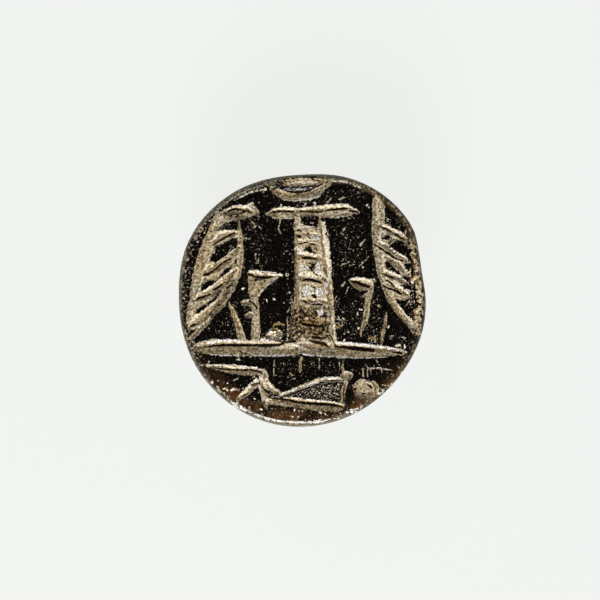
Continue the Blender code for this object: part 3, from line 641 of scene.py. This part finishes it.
corners = [(i, j, span[j, i]) for j in range(NET) for i in range(NET)
           if i % span[j, i] == 0 and j % span[j, i] == 0]
numbers = {}
for i, j, size in corners:
    for spot in ((i, j), (i + size, j), (i, j + size), (i + size, j + size)):
        numbers.setdefault(spot, len(numbers))
skin_faces = []
for i, j, size in corners:
    around = [(i + k, j) for k in range(size)] + [(i + size, j + k) for k in range(size)]
    around += [(i + size - k, j + size) for k in range(size)] + [(i, j + size - k) for k in range(size)]
    around = [numbers[spot] for spot in around if spot in numbers]
    if size == 1:
        skin_faces.append(around)
    else:
        middle_spot = numbers.setdefault((i + size // 2, j + size // 2), len(numbers))
        skin_faces.extend((middle_spot, around[k - 1], around[k]) for k in range(len(around)))
skin_points = [(net_x[j, i], net_y[j, i], 0.0) for i, j in numbers]

border = [(NET, j) for j in range(NET)] + [(i, NET) for i in range(NET, 0, -1)]
border += [(0, j) for j in range(NET, 0, -1)] + [(i, 0) for i in range(NET)]
ring_turns = np.array([net_turn[j, i] for i, j in border])
border = [numbers[spot] for spot in border]


def add_ring(previous, turns_before, place, halve=False):
    """Joins a new ring of points below the last one; place gives a point for an angle."""
    chosen = turns_before[::2] if halve else turns_before
    first = len(skin_points)
    skin_points.extend(place(turn) for turn in chosen)
    ring = list(range(first, first + len(chosen)))
    count = len(ring)
    for k in range(count):
        n = (k + 1) % count
        if halve:
            a0, a1, a2 = previous[2 * k], previous[2 * k + 1], previous[(2 * k + 2) % len(previous)]
            skin_faces.extend([(a0, ring[k], a1), (a1, ring[k], ring[n]), (a1, ring[n], a2)])
        else:
            skin_faces.append((previous[k], ring[k], ring[n], previous[n]))
    return ring, chosen


LAUNCH = 8.0


def ray_place(inset, drop, tilt):
    """The point for an angle where a ray from outside meets the solid, on its way to an inner place."""
    rise = math.sin(math.radians(tilt))
    out = math.cos(math.radians(tilt))

    def place(turn):
        side_x, side_y = math.cos(turn), math.sin(turn)
        start = edge_radius(turn) - inset + LAUNCH * out
        origin = start * side_x, start * side_y, face_level - drop + LAUNCH * rise
        return tuple(hit(origin, (-out * side_x, -out * side_y, -rise)))

    return place


# Round the rim, then down the side, where from one ring on only every second point is kept
RIM_RINGS = 13
RIM_DROP = 0.6
WIDER_DROP = 1.32
SIDE_INSET = 0.5
SIDE_DROPS = [RIM_DROP + 0.14 * k for k in range(1, 5)] + [WIDER_DROP + 0.15 * k for k in range(6)]
ring, chosen = border, ring_turns
for k in range(1, RIM_RINGS + 1):
    tilt = 90 - 90 * k / RIM_RINGS
    ring, chosen = add_ring(ring, chosen, ray_place(FLAT_INSET, RIM_DROP, tilt), halve=k == 1)
for drop in SIDE_DROPS:
    ring, chosen = add_ring(ring, chosen, ray_place(SIDE_INSET, drop, 0), halve=drop == WIDER_DROP)
# The domed back, seen from a point inside it
BACK_RINGS = 16
BACK_INSET, BACK_DROP = 4.0, 2.0
for k in range(BACK_RINGS + 1):
    tilt = -3 - 84 * k / BACK_RINGS
    ring, chosen = add_ring(ring, chosen, ray_place(BACK_INSET, BACK_DROP, tilt), halve=k == 1)


BESIDE_BOSS = 9


def boss_place(height, share=1.0, lowered=0.0):
    """The point for an angle on the turned boss, which is measured square to its string hole."""
    measured = abs(hit((0, BESIDE_BOSS, height), (0, -1, 0)).y) * share

    def place(turn):
        wander = 1 + (edge_radius(turn) / edge_radii.mean() - 1) * 0.5
        return measured * wander * math.cos(turn), measured * wander * math.sin(turn), height - lowered

    return place


BOSS_TOP = 4.0
FOOT = 0.02
BOSS_RINGS = 16
for k in range(BOSS_RINGS + 1):
    ring, chosen = add_ring(ring, chosen, boss_place(BOSS_TOP + (FOOT - BOSS_TOP) * k / BOSS_RINGS))
for share in (0.97, 0.85, 0.7, 0.5, 0.3, 0.1):
    ring, chosen = add_ring(ring, chosen, boss_place(FOOT, share, lowered=FOOT))
pole = len(skin_points)
skin_points.append((0.0, 0.0, 0.0))
skin_faces.extend((v, pole, ring[(k + 1) % len(ring)]) for k, v in enumerate(ring))

points = np.array(skin_points)
net_count = len(numbers)
points[:net_count, 2] = face_level + at(level, points[:net_count, 0], points[:net_count, 1])
skin = bpy.data.meshes.new("seal_stone")
skin.from_pydata((points * MM).tolist(), [], skin_faces)
skin.update()
stone = bpy.data.objects.new("seal_stone", skin)
bpy.context.scene.collection.objects.link(stone)


# The stone, part three: its string hole.
# Two borings meet in the middle of the boss. The drill left rings in their walls, and the string
# wore their mouths. The tree makes the bore as a body along X, and a Boolean takes it out.

class Wire:
    """A socket of a node tree that takes part in Python sums, each of which adds a Math node."""

    def __init__(self, tree, socket=None):
        self.tree = tree
        self.socket = socket

    def node(self, kind, settings=None, inputs=None, output=0):
        """Any other node: its settings first, then values or links for its sockets."""
        made = self.tree.nodes.new(kind)
        settings = dict(settings or {})
        stops = settings.pop("stops", None)
        for name, value in settings.items():
            setattr(made, name, value)
        if stops:
            while len(made.color_ramp.elements) < len(stops):
                made.color_ramp.elements.new(0.5)
            for element, (place, colour) in zip(made.color_ramp.elements, stops):
                element.position = place
                element.color = (*colour, 1.0)
        for name, value in (inputs or {}).items():
            if isinstance(value, Wire):
                self.tree.links.new(value.socket, made.inputs[name])
            else:
                made.inputs[name].default_value = value
        return Wire(self.tree, made.outputs[output]) if made.outputs else None

    def other(self, output):
        return Wire(self.tree, self.socket.node.outputs[output])

    def math(self, operation, *values):
        return self.node("ShaderNodeMath", {"operation": operation}, dict(enumerate((self, *values))))

    def __add__(self, value):
        return self.math("ADD", value)

    def __sub__(self, value):
        return self.math("SUBTRACT", value)

    def __rsub__(self, value):
        return self * -1.0 + value

    def __mul__(self, value):
        return self.math("MULTIPLY", value)

    def __truediv__(self, value):
        return self.math("DIVIDE", value)

    __radd__ = __add__
    __rmul__ = __mul__

    def smooth(self, low, high):
        """From 0 at low to 1 at high."""
        settings = {"interpolation_type": "SMOOTHSTEP"}
        return self.node("ShaderNodeMapRange", settings, {"Value": self, "From Min": low, "From Max": high})

    def colour(self, below, above):
        """A mix of two colours by this share."""
        pair = [(*c, 1.0) if isinstance(c, tuple) else c for c in (below, above)]
        settings = {"data_type": "RGBA", "clamp_factor": True}
        return self.node("ShaderNodeMix", settings, {0: self, 6: pair[0], 7: pair[1]}, output=2)

    def ramp(self, *stops):
        """A colour for each share, by stops of place and colour."""
        return self.node("ShaderNodeValToRGB", {"stops": stops}, {"Fac": self})


stone_look = bpy.data.materials.new("polished_dark_stone")
# The hole is read from the solid: open from side to side at its throat, and wider at its mouths
open_heights = [h for h in np.arange(0.5, 4.0, 0.01) if hit((-BESIDE_BOSS, 0, h), (1, 0, 0)) is None]
hole_height = (open_heights[0] + open_heights[-1]) / 2
throat = (open_heights[-1] - open_heights[0]) / 2
MOUTH_AT = 3.4
mouth = hit((MOUTH_AT, 0, hole_height), (0, 0, 1)).z - hole_height

BORE_STEPS, BORE_SIDES = 100, 32
bore_sizes = {
    "Throat": throat * MM, "Taper": (mouth - throat) / MOUTH_AT, "Half Length": 6 * MM,
    "Ring Spacing": 0.42 * MM, "Ring Depth": 0.018 * MM,
}
bore_tree = bpy.data.node_groups.new("bore_of_string_hole", "GeometryNodeTree")
for way in ("INPUT", "OUTPUT"):
    bore_tree.interface.new_socket("Geometry", in_out=way, socket_type="NodeSocketGeometry")
bore_sockets = {}
for size in bore_sizes:
    socket = bore_tree.interface.new_socket(size, in_out="INPUT", socket_type="NodeSocketFloat")
    bore_sockets[size] = socket.identifier
asked = Wire(bore_tree).node("NodeGroupInput")
half_length = asked.other("Half Length")
start = asked.node("ShaderNodeCombineXYZ", {}, {"X": half_length * -1.0})
end = asked.node("ShaderNodeCombineXYZ", {}, {"X": half_length})
middle_line = asked.node("GeometryNodeCurvePrimitiveLine", {}, {"Start": start, "End": end})
middle_line = asked.node("GeometryNodeResampleCurve", {}, {"Curve": middle_line, "Count": BORE_STEPS + 1})
along_bore = asked.node("ShaderNodeSeparateXYZ", {}, {"Vector": asked.node("GeometryNodeInputPosition")})
from_middle = along_bore.math("ABSOLUTE")
ripple = (from_middle / asked.other("Ring Spacing") * (2 * math.pi)).math("SINE")
bore_radius = asked.other("Throat") + from_middle * asked.other("Taper") + ripple * asked.other("Ring Depth")
section = asked.node("GeometryNodeCurvePrimitiveCircle", {}, {"Resolution": BORE_SIDES, "Radius": 1.0})
bored = asked.node("GeometryNodeCurveToMesh", {}, {
    "Curve": middle_line, "Profile Curve": section, "Scale": bore_radius, "Fill Caps": True,
})
bored = asked.node("GeometryNodeRealizeInstances", {}, {"Geometry": bored})
bored = asked.node("GeometryNodeSetMaterial", {}, {"Geometry": bored, "Material": stone_look})
asked.node("NodeGroupOutput", {}, {"Geometry": bored})

boring = bpy.data.objects.new("boring", bpy.data.meshes.new("bore_start"))
bpy.context.scene.collection.objects.link(boring)
growth = boring.modifiers.new("growth", "NODES")
growth.node_group = bore_tree
for size, value in bore_sizes.items():
    growth[bore_sockets[size]] = value
bored = bpy.data.meshes.new_from_object(boring.evaluated_get(bpy.context.evaluated_depsgraph_get()))
bpy.data.objects.remove(boring)
bored.transform(Matrix.Translation((0, 0, hole_height * MM)))
bore = bpy.data.objects.new("bore", bored)
bpy.context.scene.collection.objects.link(bore)

drilling = stone.modifiers.new("string_hole", "BOOLEAN")
drilling.operation = "DIFFERENCE"
drilling.object = bore
drilling.solver = "EXACT"
drilled = bpy.data.meshes.new_from_object(stone.evaluated_get(bpy.context.evaluated_depsgraph_get()))
stone.modifiers.clear()
stone.data = drilled
bpy.data.objects.remove(bore)


# The stone, part four: hand work on its side and back, and the marks its skin keeps of its wear and of painted
# light and shade.
# The side and back were scraped round by hand and polished less than the face, so they undulate.

def of_points(mesh, what):
    """One kind of vector of all the points of a mesh."""
    values = np.empty(len(mesh.vertices) * 3)
    mesh.vertices.foreach_get(what, values)
    return values.reshape(-1, 3)


places = of_points(drilled, "co") / MM
leans = of_points(drilled, "normal")
below_rim = 1 - smooth(face_level - 1.1, face_level - 0.35, places[:, 2])
above_rest = smooth(0.02, 0.35, places[:, 2])
SWELLS = ((0.03, 0.55), (0.012, 1.7), (0.006, 5.0))
undulation = np.array([
    sum(height * noise.noise(Vector(p) * closeness) for height, closeness in SWELLS)
    for p in places
])
places += leans * (undulation * below_rim * above_rest)[:, None]
drilled.vertices.foreach_set("co", (places * MM).ravel())
drilled.shade_smooth()

# The marks of the face are kept on the points, and fade out below it: soonest outside the middle,
# where there are no deep cuts, and at the edge along a wavering line
MIDDLE_RADIUS = 7.4
drop = face_level - places[:, 2]
off_middle = np.hypot(places[:, 0], places[:, 1]) > MIDDLE_RADIUS
on_face = 1 - smooth(0.45, 0.95, np.where(off_middle, drop, 0.4 * drop))
on_edge = 1 - smooth(0.35, 1.25, drop + 14 * undulation)
face_marks = {
    "bare": bare, "dirt_and_shade": dirt_and_shade, "rubbed_and_highlit": rubbed_and_highlit, "border": stained_and_shaded_border, "pale_and_lit": pale_and_lit, "white_and_highlit": white_and_highlit,
    "powder": powder, "dull": dull, "scratch": scratch, "ochre": ochre, "crust": crust, "dusk": dusk,
}
edge_marks = {"worn_and_sheen": worn_and_sheen, "painted_rim_sheen": painted_rim_sheen}
for named_fields, reach_down in ((face_marks, on_face), (edge_marks, on_edge)):
    for name, field in named_fields.items():
        values = at(field, places[:, 0], places[:, 1]) * reach_down
        mark = drilled.attributes.new(name, "FLOAT", "POINT")
        mark.data.foreach_set("value", np.clip(values, 0, 1))


# The stone, part five: its look.
# Polished skin, near black, and browner low at the edge, where light through the thin stone is painted;
# the cuts are bare stone, stippled from tan to brown, with painted light on their walls and edges, and dark in
# their bottoms with dirt and painted shade; pale specks lie all over.

stone_look.use_nodes = True
tree = stone_look.node_tree
tree.nodes.clear()
shader_start = Wire(tree)
place = shader_start.node("ShaderNodeTexCoord", output="Object")
place = place.node("ShaderNodeMapping", {}, {"Vector": place, "Scale": (1 / MM, 1 / MM, 1 / MM)})


def known(name):
    """A mark kept on the skin's points."""
    return shader_start.node("ShaderNodeAttribute", {"attribute_name": name}, output="Fac")


def grain(scale, detail=2.0, roughness=0.5, shift=0.0):
    """Noise of mean one half, with about this many lumps to the millimetre."""
    moved = place
    if shift:
        away = (shift, 0.7 * shift, 0.3)
        moved = place.node("ShaderNodeVectorMath", {"operation": "ADD"}, {0: place, 1: away})
    sizes = {"Vector": moved, "Scale": scale, "Detail": detail, "Roughness": roughness}
    return place.node("ShaderNodeTexNoise", {}, sizes)


def specks(spacing, share, size, ragged=0.25):
    """Specks of a millimetre size, in a share of the cells of a net of this spacing."""
    shaken = place.node("ShaderNodeVectorMath", {"operation": "MULTIPLY_ADD"}, {
        0: place.node("ShaderNodeTexNoise", {}, {"Vector": place, "Scale": 2.2 / size}, output="Color"),
        1: (ragged * size * 4,) * 3, 2: place,
    })
    cells = place.node("ShaderNodeTexVoronoi", {}, {"Vector": shaken, "Scale": 1 / spacing})
    chance = place.node("ShaderNodeSeparateColor", {}, {"Color": cells.other("Color")})
    kept = chance.math("LESS_THAN", share)
    outward = cells * spacing / (chance.other("Green") * size + 0.35 * size)
    return (1.0 - outward.smooth(0.45, 0.62)) * kept


HAIRLINE_WIDTH = 0.07


def streaks(turn, length, shift):
    """Fine straight scratches, all at one angle."""
    turned = place.node("ShaderNodeMapping", {"vector_type": "TEXTURE"}, {
        "Vector": place, "Rotation": (0, 0, math.radians(turn)), "Location": (shift, shift, shift),
        "Scale": (length, HAIRLINE_WIDTH, 40.0),
    })
    cells = place.node("ShaderNodeTexVoronoi", {}, {"Vector": turned, "Scale": 1.0})
    chance = place.node("ShaderNodeSeparateColor", {}, {"Color": cells.other("Color")})
    return (1.0 - cells.smooth(0.22, 0.34)) * chance.math("LESS_THAN", 0.03)


across_seal = place.node("ShaderNodeSeparateXYZ", {}, {"Vector": place})
up_seal = across_seal.other("Y")
from_axis = (across_seal * across_seal + up_seal * up_seal).math("SQRT")
fine = grain(6.5, 3.0, 0.65)
finest = grain(11.0, 2.0, 0.6, 3.0)
broad = grain(0.45, 2.0, 0.5, 11.0)
motley = grain(4.0, 4.0, 0.75, 61.0)
stipple = fine * 0.55 + finest * 0.45
unrest = fine - 0.5


def edged(name, ragged, low=0.36, high=0.64):
    """A mark of the skin with its soft edge made sharp and ragged."""
    return (known(name) + unrest * ragged).smooth(low, high)


bare_share = edged("bare", 0.5)
dirt_and_shade_share = edged("dirt_and_shade", 0.9, 0.38, 0.66)
pale_and_lit_share = edged("pale_and_lit", 1.4)
white_and_highlit_share = edged("white_and_highlit", 1.2)
powder_share = edged("powder", 2.0)
scratch_share = edged("scratch", 1.6)
crust_share = edged("crust", 1.2)
ochre_share = edged("ochre", 1.6)
dull_share = known("dull")
worn_and_sheen_share = known("worn_and_sheen")


def layered(colour, *layers):
    """A colour with others laid over it, each by its share."""
    for share, above in layers:
        colour = share.colour(colour, above)
    return colour


# The polished skin: black, browner low at the edge with painted light shining through the thin stone, with
# hairline scratches and specks
HAIRLINE = (0.15, 0.13, 0.095)
black = (fine * 0.6 + finest * 0.4).ramp(
    (0.42, (0.0003, 0.0002, 0.0001)), (0.52, (0.0024, 0.0019, 0.0013)), (0.62, (0.011, 0.0085, 0.006)),
)
lit_through_brown = grain(1.1, 3.0, 0.6, 63.0).ramp(
    (0.42, (0.012, 0.006, 0.0022)), (0.52, (0.036, 0.0165, 0.0055)), (0.62, (0.068, 0.031, 0.01)),
)
low_side = (0.0 - up_seal).smooth(3.0, 8.0)
lit_through_share = (from_axis + broad * 1.6 - 0.8).smooth(7.4, 8.5) * low_side
speckled = grain(0.9, 1.0, 0.5, 23.0).smooth(0.36, 0.6)
rim_specks = from_axis.smooth(6.8, 8.4) * (0.0 - up_seal * 0.6 - across_seal * 0.4).smooth(0.0, 5.0)
pale_specks = specks(0.36, 0.42, 0.12) * (speckled * 0.8 + rim_specks).math("MINIMUM", 1.0)
small_specks = specks(0.2, 0.27, 0.06) * (speckled * 0.7 + rim_specks * 0.5 + 0.25).math("MINIMUM", 1.0)
hairlines = streaks(22, 0.5, 3.0)
for turn, length, shift in ((70, 0.4, 11.0), (125, 0.35, 17.0), (94, 0.7, 23.0), (48, 0.3, 31.0)):
    hairlines = hairlines.math("MAXIMUM", streaks(turn, length, shift))
polished_face = across_seal.other("Z").smooth(face_level - 0.3, face_level - 0.1)
skin_colour = layered(
    black, (lit_through_share, lit_through_brown), (hairlines * polished_face * (speckled * 0.7 + 0.2), HAIRLINE),
    (small_specks, finest.ramp((0.36, (0.1, 0.08, 0.05)), (0.6, (0.34, 0.3, 0.23)))),
    (pale_specks, finest.ramp((0.36, (0.16, 0.12, 0.07)), (0.6, (0.58, 0.51, 0.39)))),
)

# Bare stone: stippled tan, greyer here and there and on the right, with rust, dirt and pores, pale
# where it is rubbed or bruised and where highlights and lit walls are painted, browner and darker at the edges
# of the cuts with stain and painted shade, and black at the bottoms with dirt and painted shade
RUST = (0.19, 0.115, 0.04)
RUBBED_AND_HIGHLIT = (0.86, 0.775, 0.59)
PORE = (0.012, 0.007, 0.003)
DIRT_AND_SHADE_BOTTOM = (0.006, 0.0028, 0.0009)
tan = stipple.ramp(
    (0.39, (0.022, 0.012, 0.004)), (0.445, (0.19, 0.13, 0.06)),
    (0.5, (0.38, 0.292, 0.16)), (0.61, (0.64, 0.535, 0.36)),
)
greyer = stipple.ramp(
    (0.39, (0.026, 0.019, 0.012)), (0.445, (0.2, 0.165, 0.112)),
    (0.5, (0.36, 0.317, 0.23)), (0.61, (0.62, 0.57, 0.46)),
)
cream = stipple.ramp((0.38, (0.3, 0.24, 0.155)), (0.47, (0.58, 0.505, 0.38)), (0.6, (0.78, 0.715, 0.59)))
whitish = stipple.ramp((0.4, (0.2, 0.17, 0.13)), (0.5, (0.52, 0.495, 0.45)), (0.6, (0.78, 0.76, 0.74)))
dusky = motley.ramp(
    (0.47, (0.003, 0.002, 0.001)), (0.52, (0.095, 0.056, 0.018)),
    (0.58, (0.27, 0.2, 0.105)), (0.67, (0.62, 0.54, 0.4)),
)
grey_side = across_seal.smooth(3.6, 5.6) * up_seal.smooth(-0.5, 1.5) * 0.75
grey_share = (broad.smooth(0.42, 0.62) * 0.7).math("MAXIMUM", grey_side)
rust = grain(3.0, 3.0, 0.6, 13.0).smooth(0.54, 0.64)
dirt = 1.0 - grain(3.4, 3.0, 0.65, 51.0).smooth(0.42, 0.52)
pores = 1.0 - grain(5.2, 2.0, 0.6, 71.0).smooth(0.37, 0.43)
bare_colour = layered(
    tan, (grey_share, greyer), (rust * 0.5, RUST),
    (dirt * 0.62, finest.ramp((0.38, (0.01, 0.005, 0.002)), (0.62, (0.17, 0.115, 0.05)))),
    (known("rubbed_and_highlit") * 0.5, RUBBED_AND_HIGHLIT), (pores * 0.5, PORE),
    (known("border") * 0.75, stipple.ramp((0.4, (0.09, 0.052, 0.018)), (0.6, (0.42, 0.31, 0.155)))),
    (pale_and_lit_share * 0.9, cream), (white_and_highlit_share, whitish), (known("dusk"), dusky), (dirt_and_shade_share, DIRT_AND_SHADE_BOTTOM),
)

# What lies on the ground or wears it: bruises, powder, scratches, crusts, stains, the rim's wear; and painted
# light: reflection bands and sheen on the rim, lit walls and white highlights on the cuts
dull_bits = (grain(8.0, 2.0, 0.6, 31.0) + dull_share * 0.2).smooth(0.7, 0.77) * dull_share.smooth(0.1, 0.4)
dull_colour = fine.ramp((0.42, (0.02, 0.013, 0.007)), (0.5, (0.16, 0.12, 0.07)), (0.6, (0.62, 0.56, 0.46)))
powder_colour = stipple.ramp(
    (0.38, (0.02, 0.016, 0.012)), (0.48, (0.34, 0.32, 0.28)), (0.58, (0.74, 0.72, 0.69)),
)
scratch_colour = finest.ramp((0.38, (0.08, 0.055, 0.03)), (0.6, (0.48, 0.41, 0.3)))
crust_colour = motley.ramp((0.43, (0.03, 0.02, 0.008)), (0.48, (0.36, 0.29, 0.19)), (0.56, (0.74, 0.67, 0.54)))
ochre_colour = stipple.ramp((0.38, (0.03, 0.015, 0.005)), (0.6, (0.33, 0.215, 0.085)))
worn_and_sheen_bits = (grain(5.0, 3.0, 0.65, 41.0) + worn_and_sheen_share * 0.25).smooth(0.645, 0.725)
worn_and_sheen_bits = worn_and_sheen_bits * worn_and_sheen_share.smooth(0.05, 0.3)
rim_patches = grain(3.2, 3.0, 0.6, 81.0) * 0.65 + stipple * 0.35
worn_and_sheen_colour = across_seal.smooth(4.5, 7.0).colour(
    stipple.ramp((0.4, (0.03, 0.022, 0.012)), (0.5, (0.2, 0.16, 0.1)), (0.6, (0.56, 0.49, 0.37))),
    rim_patches.ramp((0.41, (0.014, 0.008, 0.003)), (0.455, (0.17, 0.115, 0.05)),
                     (0.51, (0.4, 0.305, 0.175)), (0.62, (0.7, 0.6, 0.44))),
)
brown_edge = (0.0 - across_seal).smooth(6.0, 7.5) * (0.0 - up_seal).smooth(-1.5, 1.5) * 0.7
rim_sheen_colour = layered(
    stipple.ramp((0.4, (0.05, 0.042, 0.026)), (0.6, (0.19, 0.168, 0.118))),
    (across_seal.smooth(2.5, 5.5), stipple.ramp((0.4, (0.02, 0.012, 0.004)), (0.6, (0.085, 0.06, 0.024)))),
    (brown_edge, stipple.ramp((0.4, (0.02, 0.011, 0.004)), (0.6, (0.1, 0.07, 0.04)))),
)
painted_rim_sheen_share = known("painted_rim_sheen")

colour = layered(
    skin_colour, (worn_and_sheen_bits, worn_and_sheen_colour), (painted_rim_sheen_share, rim_sheen_colour), (dull_bits, dull_colour),
    (scratch_share * 0.9, scratch_colour), (bare_share, bare_colour), (powder_share, powder_colour),
    (pale_and_lit_share * (1.0 - bare_share) * 0.8, cream), (white_and_highlit_share * (1.0 - bare_share), whitish),
    (ochre_share, ochre_colour), (crust_share, crust_colour),
)

# The polish is smooth, under a clear gloss, and open stone is rough and has none
POLISH_ROUGHNESS, OPEN_ROUGHNESS = 0.13, 0.55
POLISH_BUMP, OPEN_BUMP = 0.0022, 0.017
open_stone = bare_share
for share in (crust_share, dull_bits, worn_and_sheen_bits, painted_rim_sheen_share * 0.85, powder_share, ochre_share, white_and_highlit_share):
    open_stone = open_stone.math("MAXIMUM", share)
roughness = open_stone * OPEN_ROUGHNESS + fine * 0.1 + pale_specks * 0.35 + POLISH_ROUGHNESS
bump_depth = open_stone * OPEN_BUMP + POLISH_BUMP
bumps = stipple * bump_depth + pale_specks * 0.02 + small_specks * 0.008
normal = place.node("ShaderNodeBump", {}, {"Strength": 1.0, "Distance": MM, "Height": bumps})
surface = place.node("ShaderNodeBsdfPrincipled", {}, {
    "Base Color": colour, "Roughness": roughness, "Normal": normal, "Specular IOR Level": 0.06,
    "Coat Weight": 1.0 - open_stone, "Coat Roughness": 0.17, "Coat IOR": 1.42,
})
place.node("ShaderNodeOutputMaterial", {}, {"Surface": surface})
drilled.materials.clear()
drilled.materials.append(stone_look)
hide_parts("seal")
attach(stone, "root")


# The picture: a pale table, soft light from the front and the upper left, and the camera.
# Overhead is dark, so that the polished face stays black, as the photograph has it.

TABLE_HALF = 0.4
TABLE_GLOW = (0.813, 0.832, 0.812, 1)
table = bpy.data.meshes.new("table")
table_corners = [(x * TABLE_HALF, y * TABLE_HALF, 0) for x, y in ((-1, -1), (1, -1), (1, 1), (-1, 1))]
table.from_pydata(table_corners, [], [(0, 1, 2, 3)])
table_top = bpy.data.objects.new("table", table)
bpy.context.scene.collection.objects.link(table_top)
table_look = bpy.data.materials.new("pale_table")
table_look.use_nodes = True
table_shader = table_look.node_tree.nodes["Principled BSDF"]
table_shader.inputs["Base Color"].default_value = (0.05, 0.05, 0.05, 1)
table_shader.inputs["Roughness"].default_value = 0.9
table_shader.inputs["Specular IOR Level"].default_value = 0.0
table_shader.inputs["Emission Color"].default_value = TABLE_GLOW
table_shader.inputs["Emission Strength"].default_value = 1.0
table.materials.append(table_look)

OVERHEAD = 0.006
world = bpy.data.worlds.new("studio")
world.use_nodes = True
world.node_tree.nodes.clear()
sky = Wire(world.node_tree)
direction = sky.node("ShaderNodeTexCoord", output="Generated")
parts = direction.node("ShaderNodeSeparateXYZ", {}, {"Vector": direction})
rise = parts.other("Z")
ring_of_light = rise.smooth(0.05, 0.35) * (1.0 - rise.smooth(0.6, 0.9))
from_front = (0.0 - parts.other("Y")).smooth(-0.2, 1.0)
background = sky.node("ShaderNodeBackground", {}, {
    "Color": (1, 0.99, 0.97, 1), "Strength": ring_of_light * (from_front * 0.7 + 0.3) + OVERHEAD,
})
sky.node("ShaderNodeOutputWorld", {}, {"Surface": background})
bpy.context.scene.world = world


def soft_box(name, azimuth, elevation, distance, size, power):
    """A square lamp that faces the seal; azimuth 0 is in front, towards -Y."""
    a, e = math.radians(azimuth), math.radians(elevation)
    spot = Vector((math.sin(a) * math.cos(e), -math.cos(a) * math.cos(e), math.sin(e))) * distance
    lamp = bpy.data.lights.new(name, "AREA")
    lamp.size = size
    lamp.energy = power
    holder = bpy.data.objects.new(name, lamp)
    holder.location = spot
    holder.rotation_euler = (-spot).to_track_quat("-Z", "Y").to_euler()
    bpy.context.scene.collection.objects.link(holder)


soft_box("front_box", azimuth=-8, elevation=41, distance=0.25, size=0.09, power=0.88)
soft_box("left_box", azimuth=-150, elevation=48, distance=0.25, size=0.08, power=0.2)

# The photograph is 600 pixels wide, 0.072 mm each at the face, and its middle lies a little to
# the left of the seal's
PIXEL = 0.072
LOOK_AT = (-0.238, 0.058)
DISTANCE = 300.0
SENSOR = 36
lens = bpy.data.cameras.new("camera")
lens.sensor_width = SENSOR
lens.lens = SENSOR * DISTANCE / (600 * PIXEL)
lens.clip_start = 0.01
lens.clip_end = 2
camera = bpy.data.objects.new("camera", lens)
camera.location = (LOOK_AT[0] * MM, LOOK_AT[1] * MM, (face_level + DISTANCE) * MM)
bpy.context.scene.collection.objects.link(camera)
bpy.context.scene.camera = camera
bpy.context.scene.view_settings.view_transform = "Standard"
